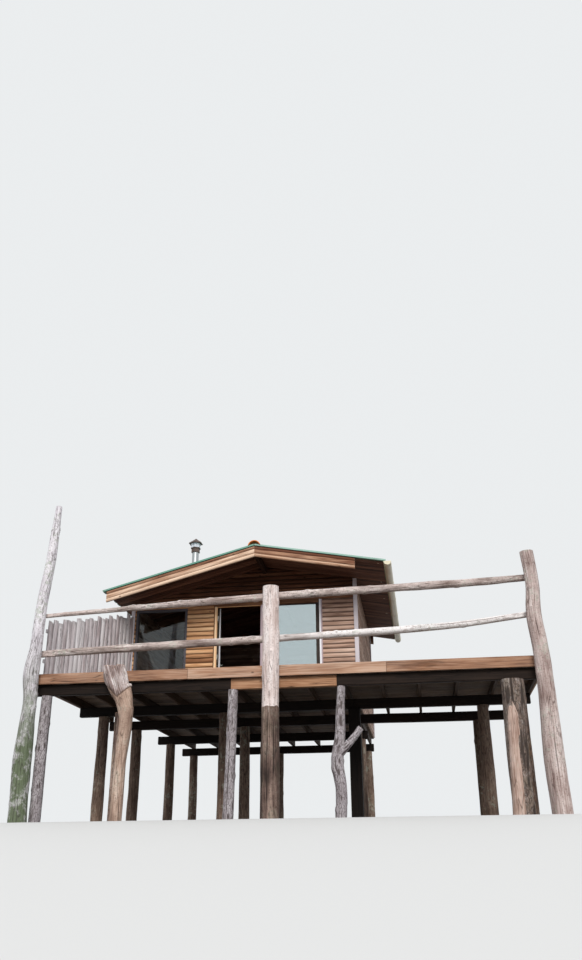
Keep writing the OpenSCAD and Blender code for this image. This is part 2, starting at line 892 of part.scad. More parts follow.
// Pipe with a cone of flashing that rests on the sheets
module flue_pipe() {
    foot_z = roof_z(flue_x, -141);
    color("darkgray") difference() {
        union() {
            translate([flue_x, flue_y, foot_z]) cylinder(h = cowl_z - foot_z, d = flue_d);
            difference() {
                translate([flue_x, flue_y, foot_z + 60]) cylinder(h = 260, d1 = 420, d2 = flue_d);
                roof_top_wedge();
            }
        }
        translate([flue_x, flue_y, foot_z - 80]) cylinder(h = 2000, d = flue_d - 8);
    }
}

// Six-sided cowl: a collar, a faceted lantern body and a pointed cap
module flue_cowl() {
    color("darkslategray") translate([flue_x, flue_y, cowl_z]) {
        difference() {
            union() {
                cylinder(h = 90, d = 200, $fn = 6);
                translate([0, 0, 90]) cylinder(h = 120, d = 230, $fn = 6);
            }
            translate([0, 0, 12]) cylinder(h = 300, d = 180, $fn = 6);
            translate([0, 0, -5]) cylinder(h = 100, d = flue_d - 8);
        }
        translate([0, 0, 210]) cylinder(h = 120, d1 = 330, d2 = 40, $fn = 6);
    }
}

central_post();
flared_post();
left_trunk();
right_trunk();
split_post();
left_corner_post();
bark_post();
crooked_post();
rear_posts();
cabin_posts();
old_front_bearer();
new_front_bearer();
rear_bearers();
joists();
front_fascia();
end_fascias();
deck_boards();
upper_rail_left();
upper_rail_right();
lower_rail_left();
lower_rail_right();
slab_screen();
cabin_floor();
front_wall_left();
front_wall_middle();
front_wall_right();
front_gable();
left_wall();
right_wall();
back_wall();
corner_boards();
window_frame();
fixed_glass();
door_frame();
door_leaf();
door_glass();
door_handle();
ridge_beam();
roof_boards();
roof_sheets();
barge_boards();
ridge_tiles();
gutter();
flue_pipe();
flue_cowl();
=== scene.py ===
"""Looks of the tree house: log posts and rails, plank deck, log cladding, tiled ridge and ribbed sheets."""

import math
import random
from itertools import pairwise, product

import bmesh
import bpy
import numpy as np
from mathutils import Matrix, Vector


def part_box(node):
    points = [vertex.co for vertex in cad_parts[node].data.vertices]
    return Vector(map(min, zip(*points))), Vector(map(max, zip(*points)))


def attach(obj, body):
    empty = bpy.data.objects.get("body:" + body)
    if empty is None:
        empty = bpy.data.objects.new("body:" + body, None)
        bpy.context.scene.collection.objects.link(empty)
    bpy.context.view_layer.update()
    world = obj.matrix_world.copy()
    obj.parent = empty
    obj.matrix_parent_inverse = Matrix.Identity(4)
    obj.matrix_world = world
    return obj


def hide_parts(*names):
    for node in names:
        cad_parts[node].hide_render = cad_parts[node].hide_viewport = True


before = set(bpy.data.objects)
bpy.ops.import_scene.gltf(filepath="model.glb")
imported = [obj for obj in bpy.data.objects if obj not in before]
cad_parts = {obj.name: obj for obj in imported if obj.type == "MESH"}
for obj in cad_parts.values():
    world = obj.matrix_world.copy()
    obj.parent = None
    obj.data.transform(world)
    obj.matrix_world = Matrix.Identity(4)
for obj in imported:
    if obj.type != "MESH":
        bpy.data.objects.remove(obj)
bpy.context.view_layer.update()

# Levels and places of the frame, in metres
deck_low, deck_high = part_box("deck_boards")
DECK = deck_high.z
DECK_LEFT, DECK_RIGHT = deck_low.x, deck_high.x
DECK_FRONT, DECK_BACK = deck_low.y, deck_high.y
BOARD_T = deck_high.z - deck_low.z
joist_low, joist_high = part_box("joists")
floor_low, floor_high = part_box("cabin_floor")
CABIN_LEFT, CABIN_RIGHT = floor_low.x, floor_high.x
WALL_FRONT, WALL_BACK = floor_low.y, floor_high.y
BEARER_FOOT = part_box("rear_bearers")[0].z
FASCIA_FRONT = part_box("front_fascia")[0].y
WALL_T = 0.09
LOG_PITCH = 0.09
LOG_BULGE = 0.015

# Roof lines: plumb offsets are below the tops of the sheet's ribs
RIDGE_X, RIDGE_Z = -0.745, 5.1
LEFT_FALL, RIGHT_FALL = 0.264, 0.182
RIB_H = 0.028
BOARDS_TOP = -0.033
BOARDS_UNDER = -0.061
ROOF_FRONT, ROOF_BACK = 2.5, 8.5
BARGE_T = 0.045
boards_low, boards_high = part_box("roof_boards")
ROOF_LEFT, ROOF_RIGHT = boards_low.x, boards_high.x

rng = random.Random(41)


# Camera, floor and light

CAMERA_PLACE = Vector((2.190, -12.981, -0.699))
CAMERA_YAW, CAMERA_PITCH, CAMERA_ROLL = 0.142, 0.4261, -0.0071
FOCAL_PX, FRAME_HEIGHT_PX = 869.4, 960
SENSOR = 36.0
FLOOR_SHOWN, FLOOR_BOUNCE = (0.66, 0.66, 0.65), (0.12, 0.115, 0.105)
SKY_SHOWN, SKY_FILL, SKY_FILL_STRENGTH = (0.83, 0.85, 0.86), (0.93, 0.96, 1.0), 0.85
LAMP_STRENGTH, LAMP_BREADTH, LAMP_FROM_ZENITH, LAMP_TURN = 2.1, 24, 58, 10


def make_camera():
    """The camera that took the photograph, as fitted to the posts, the deck and the roof."""
    data = bpy.data.cameras.new("camera")
    data.sensor_width = SENSOR
    data.lens = SENSOR * FOCAL_PX / FRAME_HEIGHT_PX
    data.clip_end = 300
    level = Vector((-math.sin(CAMERA_YAW), math.cos(CAMERA_YAW), 0))
    look = level * math.cos(CAMERA_PITCH) + Vector((0, 0, math.sin(CAMERA_PITCH)))
    right = Vector((math.cos(CAMERA_YAW), math.sin(CAMERA_YAW), 0))
    up = right.cross(look)
    turned_right = math.cos(CAMERA_ROLL) * right + math.sin(CAMERA_ROLL) * up
    turned_up = math.cos(CAMERA_ROLL) * up - math.sin(CAMERA_ROLL) * right
    camera = bpy.data.objects.new("camera", data)
    bpy.context.scene.collection.objects.link(camera)
    axes = Matrix((turned_right, turned_up, -look)).transposed().to_4x4()
    camera.matrix_world = Matrix.Translation(CAMERA_PLACE) @ axes
    bpy.context.scene.camera = camera


def make_floor():
    """A pale floor, level under the house, that falls away in front as the ground does below the camera."""
    brow, fall, far = -0.42, 0.17, 70.0
    stations = [-far, -30, -14, -9, -5, -3, -2, -1.4, -1.0, -0.7, brow, 2, 12, far]
    verts = []
    for y in stations:
        run = max(0.0, brow - y)
        z = -fall * run * run / (run + 0.5) if y > -30 else -fall * 29
        verts += [(-far, y, z), (far, y, z)]
    faces = [(2 * i, 2 * i + 1, 2 * i + 3, 2 * i + 2) for i in range(len(stations) - 1)]
    mesh = bpy.data.meshes.new("floor")
    mesh.from_pydata(verts, [], faces)
    mesh.shade_smooth()
    floor = bpy.data.objects.new("floor", mesh)
    bpy.context.scene.collection.objects.link(floor)
    material = bpy.data.materials.new("floor")
    material.use_nodes = True
    tree = material.node_tree
    tree.nodes.clear()
    shades = []
    for colour in (FLOOR_BOUNCE, FLOOR_SHOWN):
        shade = tree.nodes.new("ShaderNodeBsdfDiffuse")
        shade.inputs["Color"].default_value = (*colour, 1)
        shades.append(shade)
    mix_by_sight(tree, shades, "ShaderNodeOutputMaterial")
    mesh.materials.append(material)


def mix_by_sight(tree, shades, output):
    """Ends a node tree in the first shade for bounced light and the second for what is seen, straight,
    in gloss or through glass."""
    path = tree.nodes.new("ShaderNodeLightPath")
    seen = path.outputs["Is Camera Ray"]
    for name in ("Is Glossy Ray", "Is Transmission Ray"):
        most = tree.nodes.new("ShaderNodeMath")
        most.operation = "MAXIMUM"
        tree.links.new(seen, most.inputs[0])
        tree.links.new(path.outputs[name], most.inputs[1])
        seen = most.outputs[0]
    mix = tree.nodes.new("ShaderNodeMixShader")
    tree.links.new(seen, mix.inputs[0])
    for slot, shade in enumerate(shades, 1):
        tree.links.new(shade.outputs[0], mix.inputs[slot])
    out = tree.nodes.new(output)
    tree.links.new(mix.outputs[0], out.inputs["Surface"])


def make_light():
    """A pale sky all round and one broad soft lamp from the front."""
    world = bpy.data.worlds.new("sky")
    bpy.context.scene.world = world
    world.use_nodes = True
    tree = world.node_tree
    tree.nodes.clear()
    skies = []
    for colour, strength in ((SKY_FILL, SKY_FILL_STRENGTH), (SKY_SHOWN, 1.0)):
        sky = tree.nodes.new("ShaderNodeBackground")
        sky.inputs["Color"].default_value = (*colour, 1)
        sky.inputs["Strength"].default_value = strength
        skies.append(sky)
    mix_by_sight(tree, skies, "ShaderNodeOutputWorld")
    data = bpy.data.lights.new("lamp", "SUN")
    data.energy = LAMP_STRENGTH
    data.angle = math.radians(LAMP_BREADTH)
    data.color = (1.0, 0.97, 0.93)
    lamp = bpy.data.objects.new("lamp", data)
    lamp.rotation_euler = (math.radians(LAMP_FROM_ZENITH), 0, math.radians(LAMP_TURN))
    bpy.context.scene.collection.objects.link(lamp)
    bpy.context.scene.view_settings.view_transform = "Standard"


# Repeatable noise, worked out for whole arrays of points


def lattice(cell, seed):
    """A fixed random number from 0 to 1 for each whole-number point."""
    n = cell[..., 0] * 73856093 ^ cell[..., 1] * 19349663 ^ cell[..., 2] * 83492791
    n = (n ^ (seed * 2654435)) & 0x7FFFFFFF
    n = ((n ^ (n >> 13)) * 1274126177) & 0x7FFFFFFF
    n = ((n ^ (n >> 15)) * 668265263) & 0x7FFFFFFF
    return (n >> 8 & 0xFFFF) / 65535.0


def noise(points, scale=(1, 1, 1), seed=0):
    """Smooth noise from -1 to 1 at points that are first scaled along each axis."""
    p = np.asarray(points) * np.array(scale, float)
    cell = np.floor(p).astype(np.int64)
    f = p - cell
    f = f * f * (3 - 2 * f)
    total = np.zeros(p.shape[:-1])
    for corner in product((0, 1), repeat=3):
        weight = np.prod(np.where(np.array(corner) == 1, f, 1 - f), axis=-1)
        total += weight * lattice(cell + np.array(corner), seed)
    return total * 2 - 1


def fractal(points, scale, octaves, seed=0):
    """Noise with finer and weaker layers added."""
    scale = np.array(scale, float)
    return sum(noise(points, scale * 2 ** i, seed + i) / 2 ** i for i in range(octaves))


# Meshes


def unit(v):
    return np.asarray(v, float) / np.linalg.norm(v)


def chance_place():
    """A random place far off in the grain's pattern, so that no two boards look alike."""
    return np.array([rng.uniform(-40, 40) for _ in range(3)])


class Pile:
    """Solids that share one mesh. Each vertex keeps its place in its own board's or log's grain, the
    length first, and three traits: the board's own tone, a mark for cracks and for painted shade, and 1 on
    cut ends."""

    def __init__(self):
        self.verts, self.faces, self.grain, self.traits = [], [], [], []
        self.count = 0

    def add(self, verts, faces, grain, tone=0.5, mark=0.0, end=0.0):
        verts = np.asarray(verts, float).reshape(-1, 3)
        traits = np.zeros((len(verts), 3))
        traits[:, 0] = tone
        traits[:, 1] = mark
        traits[:, 2] = end
        self.faces += [tuple(i + self.count for i in face) for face in faces]
        self.verts.append(verts)
        self.grain.append(np.asarray(grain, float).reshape(-1, 3))
        self.traits.append(traits)
        self.count += len(verts)

    def sweep(self, rings, grain, tone=0.5, mark=0.0, end=0.0):
        """Joins rings of points, each a row of the array, into one solid."""
        m, k = rings.shape[:2]
        faces = [
            (r * k + c, r * k + (c + 1) % k, (r + 1) * k + (c + 1) % k, (r + 1) * k + c)
            for r in range(m - 1)
            for c in range(k)
        ]
        faces += [tuple(range(k))[::-1], tuple(range((m - 1) * k, m * k))]
        flat = [np.broadcast_to(np.asarray(t, float), (m, k)).ravel() for t in (tone, mark, end)]
        self.add(rings, faces, grain, *flat)

    def mesh(self, name):
        """The pile as a mesh whose faces look outwards."""
        mesh = bpy.data.meshes.new(name)
        mesh.from_pydata(np.concatenate(self.verts).tolist(), [], self.faces)
        bm = bmesh.new()
        bm.from_mesh(mesh)
        bmesh.ops.recalc_face_normals(bm, faces=bm.faces)
        bm.to_mesh(mesh)
        bm.free()
        return mesh

    def piece(self, name, material, node, slot, body="structure", sharp=35):
        """Makes the pile into an object that rides on a body and stands for a CAD node."""
        mesh = self.mesh(name)
        for key, rows in (("grain", self.grain), ("traits", self.traits)):
            layer = mesh.attributes.new(key, "FLOAT_VECTOR", "POINT")
            layer.data.foreach_set("vector", np.concatenate(rows).astype(np.float32).ravel())
        mesh.shade_smooth()
        mesh.set_sharp_from_angle(angle=math.radians(sharp))
        mesh.materials.append(material)
        piece = bpy.data.objects.new(name, mesh)
        bpy.context.scene.collection.objects.link(piece)
        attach(piece, body)
        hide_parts(node)


def bar(pile, start, end, profile, up=(0, 0, 1), tone=None, step=0.3, wave=0.001, chamfer=0.003,
        cut_start=None, cut_end=None, marks=0.0):
    """Sweeps a closed profile of (side, up) points from start to end. A cut gives each profile point's
    own distance from that end, for mitres and slopes. Wave is how far the bar strays from straight, and
    marks is painted shade that darkens its grooves."""
    start, end = np.asarray(start, float), np.asarray(end, float)
    along = end - start
    length = np.linalg.norm(along)
    along = along / length
    side = unit(np.cross(along, up))
    rise = np.cross(side, along)
    profile = np.asarray(profile, float)
    middle = profile.mean(0)
    lead = np.zeros(len(profile)) if cut_start is None else np.asarray(cut_start, float)
    trail = np.zeros(len(profile)) if cut_end is None else np.asarray(cut_end, float)
    count = max(1, int(length / step))
    shares = [i / count for i in range(count + 1)]
    first = lead + chamfer
    last = length - trail - chamfer
    at = np.array([lead] + [first + s * (last - first) for s in shares] + [length - trail])
    shape = np.repeat(profile[None], len(at), 0)
    size = np.abs(profile - middle).max(0)
    shrink = np.maximum(0.0, 1 - chamfer / np.maximum(size, 1e-6))
    shape[0] = middle + (profile - middle) * shrink
    shape[-1] = shape[0]
    place_off = chance_place()
    line = np.stack([at.mean(1), np.zeros(len(at)), np.zeros(len(at))], -1) + place_off
    drift = np.stack([noise(line, (1.3, 1, 1), 3), noise(line, (1.3, 1, 1), 4)], -1) * wave
    shape = shape + drift[:, None]
    rings = (start + at[..., None] * along + shape[..., :1] * side + shape[..., 1:] * rise)
    grain = np.concatenate([at[..., None], shape], -1) + place_off
    ends = np.zeros(at.shape)
    ends[[0, -1]] = 1
    tone = rng.random() if tone is None else tone
    pile.sweep(rings, grain, tone, marks, ends)


def rectangle(width, height, ease=0.004, crown=0.0):
    """A board's section with eased corners, its middle at the origin."""
    w, h = width / 2, height / 2
    return [
        (-w + ease, -h), (0, -h - crown), (w - ease, -h), (w, -h + ease),
        (w, h - ease), (w - ease, h), (0, h + crown), (-w + ease, h), (-w, h - ease), (-w, -h + ease),
    ]


def board(pile, low, high, axis, ease=0.004, **options):
    """A board that fills the box from low to high, with its grain along the axis 0, 1 or 2."""
    low, high = np.asarray(low, float), np.asarray(high, float)
    middle = (low + high) / 2
    start, end = middle.copy(), middle.copy()
    start[axis], end[axis] = low[axis], high[axis]
    size = high - low
    up = (0, 0, 1) if axis != 2 else (0, 1, 0)
    width = size[1] if axis == 0 else size[0]
    height = size[2] if axis != 2 else size[1]
    ease = min(ease, 0.3 * min(width, height))
    bar(pile, start, end, rectangle(width, height, ease), up, **options)


def curve_through(stations, values, at):
    """A smooth curve through values at the stations, read at other places."""
    values = np.asarray(values, float)
    slopes = np.gradient(values, stations, axis=0)
    i = np.clip(np.searchsorted(stations, at, side="right") - 1, 0, len(stations) - 2)
    span = stations[i + 1] - stations[i]
    t = (at - stations[i]) / span
    shape = (-1,) + (1,) * (values.ndim - 1)
    t, span = t.reshape(shape), span.reshape(shape)
    return (
        values[i] * (2 * t ** 3 - 3 * t ** 2 + 1) + values[i + 1] * (3 * t ** 2 - 2 * t ** 3)
        + slopes[i] * span * (t ** 3 - 2 * t ** 2 + t) + slopes[i + 1] * span * (t ** 3 - t ** 2)
    )


CAP_RINGS = (0.25, 0.6, 0.94)


def turned(angle):
    """An angle brought to the range from minus half a turn to half a turn."""
    return (angle + math.pi) % (2 * math.pi) - math.pi


def log(pile, points, widths, seed, sides=48, step=0.04, lumps=0.03, bark=0.0, bark_scale=(7, 30, 30),
        fissures=0, fissure_depth=0.012, knots=0, seats=(), flutes=0.0, ragged=0.0):
    """A log along a path, with lumps, knots, bark ridges and drying cracks. A seat is (axis of its range,
    low, high, flat's Y, side): points in the range are brought back to that Y, side -1 from behind."""
    points = np.asarray(points, float)
    reach = np.concatenate([[0], np.cumsum(np.linalg.norm(np.diff(points, axis=0), axis=1))])
    at = np.linspace(0, reach[-1], max(4, int(reach[-1] / step)))
    line = curve_through(reach, points, at)
    for axis, low, high, _, _ in seats:
        order = np.argsort(line[:, axis])
        edges = np.interp([low, low + 0.004, high - 0.004, high], line[order, axis], at[order])
        at = np.union1d(at, edges)
        line = curve_through(reach, points, at)
    radius = curve_through(reach, np.asarray(widths, float) / 2, at)
    tangent = np.gradient(line, at, axis=0)
    tangent /= np.linalg.norm(tangent, axis=1)[:, None]
    side = np.cross([0.0, 1.0, 0.0], tangent)
    side /= np.linalg.norm(side, axis=1)[:, None]
    other = np.cross(tangent, side)
    angle = np.linspace(0, 2 * math.pi, sides, endpoint=False)
    away = side[:, None] * np.cos(angle)[:, None] + other[:, None] * np.sin(angle)[:, None]
    random_log = random.Random(seed)
    spot = np.array([random_log.uniform(-30, 30) for _ in range(3)])
    local = np.stack([
        np.repeat(at[:, None], sides, 1),
        radius[:, None] * np.cos(angle),
        radius[:, None] * np.sin(angle),
    ], -1) + spot
    swell = radius[:, None] * lumps * fractal(local, (2.2, 6, 6), 3, seed)
    swell += radius[:, None] * flutes * noise(local, (0.7, 11, 11), seed + 7)
    mark = np.zeros(swell.shape)
    if bark:
        ridge = 1 - np.abs(fractal(local, bark_scale, 3, seed + 20))
        swell += bark * (ridge - 0.7)
        # Darker in the furrows between bark ridges: the bark's own darker furrows, with painted shade in them
        # too.
        mark += np.clip((0.62 - ridge) * 2.2, 0, 1)
    for _ in range(fissures):
        middle, half = random_log.uniform(0, reach[-1]), random_log.uniform(0.15, 0.55) * reach[-1]
        heading, drift = random_log.uniform(-math.pi, math.pi), random_log.uniform(-0.2, 0.2)
        wander = 0.12 * noise(local[:, 0] + heading, (3.0, 1, 1), seed + 50)
        gap = turned(angle[None] - heading - drift * (at - middle)[:, None] - wander[:, None])
        window = np.clip(1 - np.abs(at - middle) / half, 0, 1)[:, None] ** 0.5
        cut = np.exp(-(gap / (1.1 * math.pi / sides)) ** 2) * window
        swell -= fissure_depth * cut
        mark += cut
    for _ in range(knots):
        height, heading = random_log.uniform(0.05, 0.95) * reach[-1], random_log.uniform(-math.pi, math.pi)
        size = random_log.uniform(0.022, 0.045)
        round_it = radius[:, None] * turned(angle[None] - heading)
        off = ((at - height)[:, None] / size) ** 2 + (round_it / size) ** 2
        swell += size * 0.42 * np.exp(-off) - size * 0.2 * np.exp(-off * 6)
        mark += 0.8 * np.exp(-off * 5)
    skin = line[:, None] + away * (radius[:, None] + swell)[..., None]
    near_top = np.clip((at - reach[-1] + 0.12) / 0.12, 0, 1)[:, None]
    skin[..., 2] += near_top * ragged * fractal(local, (0, 16, 16), 2, seed + 60)
    for axis, low, high, flat, way in seats:
        inside = (skin[..., axis] >= low) & (skin[..., axis] <= high)
        beyond = inside & ((skin[..., 1] - flat) * way < 0)
        skin[..., 1] = np.where(beyond, flat, skin[..., 1])
    caps = [(line[i][None] + (skin[i] - line[i]) * s, local[i] * 1.0, s) for i, s in
            [(0, s) for s in CAP_RINGS] + [(-1, s) for s in CAP_RINGS[::-1]]]
    shrunk = [np.concatenate([(g - spot)[:, :1], (g - spot)[:, 1:] * s], -1) + spot for _, g, s in caps]
    rings = np.concatenate([[c[0] for c in caps[:3]], skin, [c[0] for c in caps[3:]]])
    grain = np.concatenate([shrunk[:3], local, shrunk[3:]])
    quiet = np.zeros((3, sides))
    mark = np.concatenate([quiet, mark, quiet])
    ends = np.zeros(rings.shape[:2])
    ends[:3] = ends[-3:] = 1
    rings[..., 2] = np.maximum(rings[..., 2], 0.0)
    pile.sweep(rings, grain, random_log.random(), np.clip(mark, 0, 1), ends)


def lathe(pile, base, outline, sides=32, axis=(0, 0, 1), tone=0.5):
    """Turns an outline of (radius, distance along the axis) points about an axis through base."""
    axis = unit(axis)
    helper = np.array([1.0, 0, 0]) if abs(axis[0]) < 0.9 else np.array([0, 1.0, 0])
    side = unit(np.cross(axis, helper))
    other = np.cross(axis, side)
    angle = np.linspace(0, 2 * math.pi, sides, endpoint=False)
    away = np.cos(angle)[:, None] * side + np.sin(angle)[:, None] * other
    rings = np.array([np.asarray(base) + h * axis + r * away for r, h in outline])
    grain = np.array([[(h, r * math.cos(a), r * math.sin(a)) for a in angle] for r, h in outline])
    pile.sweep(rings, grain + chance_place(), tone)


def extrude(pile, loop, stations, origin, tone, off=0.0):
    """Sweeps a loop of (x, z) points along Y."""
    rings = [[(origin[0] + x, origin[1] + s, origin[2] + z) for x, z in loop] for s in stations]
    grain = [[(s, x, z) for x, z in loop] for s in stations]
    pile.sweep(np.array(rings), np.array(grain) + off, tone)


# Materials


def srgb(red, green, blue):
    """A colour as seen on a screen, 0 to 255, in the linear values that shaders use."""
    def linear(c):
        c /= 255
        return c / 12.92 if c <= 0.04045 else ((c + 0.055) / 1.055) ** 2.4
    return linear(red), linear(green), linear(blue), 1.0


class Graph:
    """The nodes of one material. Each call adds a node and gives back its output."""

    def __init__(self, name):
        self.material = bpy.data.materials.new(name)
        self.material.use_nodes = True
        self.tree = self.material.node_tree
        self.tree.nodes.clear()
        self.grain = self.add("Attribute", {}, "Vector", attribute_name="grain")
        traits = self.add("Attribute", {}, "Vector", attribute_name="traits")
        self.tone, self.mark, self.end = self.split(traits)

    def add(self, kind, sockets, output=0, **settings):
        node = self.tree.nodes.new("ShaderNode" + kind)
        for key, value in settings.items():
            setattr(node, key, value)
        for key, value in sockets.items():
            if isinstance(value, bpy.types.NodeSocket):
                self.tree.links.new(value, node.inputs[key])
            else:
                node.inputs[key].default_value = value
        return node.outputs[output]

    def split(self, vector):
        return list(self.add("SeparateXYZ", {0: vector}).node.outputs)

    def place(self):
        """The part's own frame, the same at every pose and from every side."""
        return self.add("TexCoord", {}, "Object")

    def stretch(self, vector, scale):
        scale = scale if isinstance(scale, tuple) else (scale,) * 3
        return self.add("VectorMath", {0: vector, 1: scale}, operation="MULTIPLY")

    def noise(self, vector, scale, detail=3.0, rough=0.55):
        sockets = {"Vector": self.stretch(vector, scale), "Scale": 1.0, "Detail": detail, "Roughness": rough}
        return self.add("TexNoise", sockets)

    def cells(self, vector, scale, feature="F1"):
        sockets = {"Vector": self.stretch(vector, scale), "Scale": 1.0}
        return self.add("TexVoronoi", sockets, "Distance", feature=feature)

    def math(self, operation, a, b=0.0):
        return self.add("Math", {0: a, 1: b}, operation=operation)

    def times(self, a, b):
        return self.math("MULTIPLY", a, b)

    def range(self, value, low, high, to_low=0.0, to_high=1.0):
        sockets = {"Value": value, "From Min": low, "From Max": high, "To Min": to_low, "To Max": to_high}
        return self.add("MapRange", sockets)

    def ramp(self, factor, colours, places):
        node = self.add("ValToRGB", {"Fac": factor}).node
        elements = node.color_ramp.elements
        while len(elements) < len(colours):
            elements.new(0.5)
        for element, position, colour in zip(elements, places, colours):
            element.position = position
            element.color = srgb(*colour)
        return node.outputs[0]

    def mix(self, factor, a, b):
        return self.add("Mix", {0: factor, 6: a, 7: b}, 2, data_type="RGBA", blend_type="MIX")

    def over(self, colour, cover, share, top):
        """Lays another colour over this one where the cover is, at a share of its strength."""
        return self.mix(self.times(cover, share), colour, srgb(*top))

    def bump(self, height, distance, strength):
        return self.add("Bump", {"Height": height, "Distance": distance, "Strength": strength})

    def sum(self, *terms):
        """Adds (value, weight) pairs, each value taken from its middle, 0.5, to a middle of 0.5."""
        total = 0.5
        for value, weight in terms:
            total = self.add("Math", {0: value, 1: weight, 2: total}, operation="MULTIPLY_ADD")
            total = self.math("SUBTRACT", total, weight / 2)
        return total

    def finish(self, colour, rough, normal=None, **fixed):
        sockets = {"Base Color": colour, "Roughness": rough}
        sockets.update({key.replace("_", " "): value for key, value in fixed.items()})
        if normal is not None:
            sockets["Normal"] = normal
        shader = self.add("BsdfPrincipled", sockets)
        output = self.tree.nodes.new("ShaderNodeOutputMaterial")
        self.tree.links.new(shader, output.inputs["Surface"])
        return self.material


def shaded(colour, share):
    return [c * share for c in colour]


def cracks(g, along, across, width, share):
    """Thin dark lines that follow the grain, in patches. Share is how much of the wood has them."""
    edge = g.cells(g.grain, (along, across, across), "DISTANCE_TO_EDGE")
    patch = g.noise(g.grain, (along * 0.6, across * 0.2, across * 0.2), 1.0)
    line = g.range(edge, 0.0, width, 1.0, 0.0)
    return g.times(line, g.range(patch, 0.62 - share * 0.3, 0.68 - share * 0.3))


def knots(g, scale, share):
    """Round knots, a few along each board."""
    near = g.cells(g.grain, scale)
    there = g.math("LESS_THAN", g.split(near.node.outputs["Color"])[0], share)
    return g.times(g.range(near, 0.13, 0.07), there)


def end_rings(g, colour, light, dark):
    """Growth rings on the cut ends, over the long grain's colour."""
    _, y, z = g.split(g.grain)
    wobble = g.noise(g.grain, (6, 14, 14), 2.0)
    radius = g.math("POWER", g.math("ADD", g.times(y, y), g.times(z, z)), 0.5)
    wave = g.math("SINE", g.math("ADD", g.times(radius, 620.0), g.times(wobble, 14.0)))
    face = g.mix(g.range(wave, -1, 1), srgb(*dark), srgb(*light))
    return g.mix(g.times(g.end, 0.9), colour, face)


def sawn(name, colours, knot_share=0.3, grey=0.0, grey_colour=(152, 143, 136), crack_share=0.0,
         places=(0.15, 0.5, 0.85)):
    """Sawn timber: rings cut lengthwise, fine fibre, knots, weather, and its ends."""
    g = Graph(name)
    dark = colours[0]
    figure = g.noise(g.grain, (0.55, 9, 9), 2.0)
    ring = g.range(g.math("SINE", g.times(figure, 43.96)), -1, 1)
    fibre = g.noise(g.grain, (5, 170, 170), 3.0, 0.7)
    broad = g.noise(g.grain, (0.9, 5, 5))
    value = g.sum((ring, 0.22), (fibre, 0.55), (broad, 0.7), (g.tone, 0.5))
    knot = knots(g, (4, 8.5, 8.5), knot_share)
    colour = g.over(g.ramp(value, colours, places), knot, 0.75, shaded(dark, 0.62))
    if grey:
        patch = g.noise(g.place(), 1.1, 4.0, 0.6)
        worn = g.range(g.sum((patch, 1.0), (fibre, 0.9)), 0.35, 0.7)
        colour = g.over(colour, worn, grey, grey_colour)
    height = g.sum((ring, 0.25), (fibre, 0.6), (knot, -0.3))
    if crack_share:
        crack = cracks(g, 1.3, 42, 0.05, crack_share)
        colour = g.over(colour, crack, 0.8, shaded(dark, 0.3))
        height = g.math("SUBTRACT", height, crack)
    # The mark is painted shade here: dark grooves between cladding logs and barge strips, log undersides and
    # slab edges.
    colour = g.over(colour, g.mark, 0.92, shaded(dark, 0.4))
    colour = end_rings(g, colour, shaded(colours[-1], 0.95), shaded(dark, 0.8))
    rough = g.range(fibre, 0.2, 0.8, 0.62, 0.84)
    return g.finish(colour, rough, g.bump(height, 0.0016, 0.9), Specular_IOR_Level=0.15)


def peeled(name, colours, crack_colour, flecks, fleck_colour, lichen=0.0, moss=0.0, moss_top=None, dashes=0.0,
           places=(0.2, 0.5, 0.8), other=None):
    """A log with its bark off: long streaks, drying cracks, short dashes across it, flecks of bast, lichen
    and moss. Where the tone is 1 it takes the other colours, and moss thins out up to moss_top."""
    g = Graph(name)
    streak = g.noise(g.grain, (2.4, 55, 55), 4.0, 0.65)
    broad = g.noise(g.grain, (1.3, 7, 7))
    patch = g.noise(g.place(), 2.3)
    value = g.sum((streak, 0.9), (broad, 0.9), (patch, 0.6), (g.tone, 0.1))
    colour = g.ramp(value, colours, places)
    if other:
        colour = g.mix(g.tone, colour, g.ramp(value, *other))
    speck = g.noise(g.grain, (13, 38, 38), 4.0, 0.7)
    fleck = g.range(g.sum((speck, 1.2), (broad, 0.5)), 0.66 - flecks * 0.3, 0.78 - flecks * 0.3)
    colour = g.over(colour, fleck, 0.65, fleck_colour)
    if dashes:
        dash = g.noise(g.grain, (70, 34, 34), 3.0, 0.7)
        colour = g.over(colour, g.range(dash, 0.56, 0.66), dashes, crack_colour)
    line = cracks(g, 1.7, 24, 0.045, 0.5)
    # The mark adds the log's cracks and knots, and painted shade in bark furrows, sunken folds and under the
    # crown's step.
    hollow = g.math("MAXIMUM", g.times(line, 0.9), g.range(g.mark, 0.25, 0.9))
    if lichen:
        spot = g.noise(g.place(), 17, 3.0, 0.6)
        colour = g.over(colour, g.range(g.sum((spot, 1.0), (patch, 0.7)), 0.60, 0.68), lichen,
                        (176, 184, 168))
    if moss:
        tuft = g.noise(g.place(), (5, 5, 4), 5.0, 0.7)
        grown = g.range(tuft, 0.5 - moss * 0.16, 0.61 - moss * 0.08)
        if moss_top:
            height = g.split(g.place())[2]
            grown = g.times(grown, g.range(height, moss_top * 0.4, moss_top, 1.0, 0.0))
        colour = g.over(colour, grown, moss, (94, 107, 77))
    colour = g.over(colour, hollow, 0.85, crack_colour)
    colour = end_rings(g, colour, (205, 165, 135), (150, 100, 75))
    height = g.sum((streak, 0.5), (speck, 0.4), (hollow, -0.9), (fleck, 0.3))
    rough = g.range(speck, 0.2, 0.8, 0.7, 0.9)
    return g.finish(colour, rough, g.bump(height, 0.004, 0.9), Specular_IOR_Level=0.3)


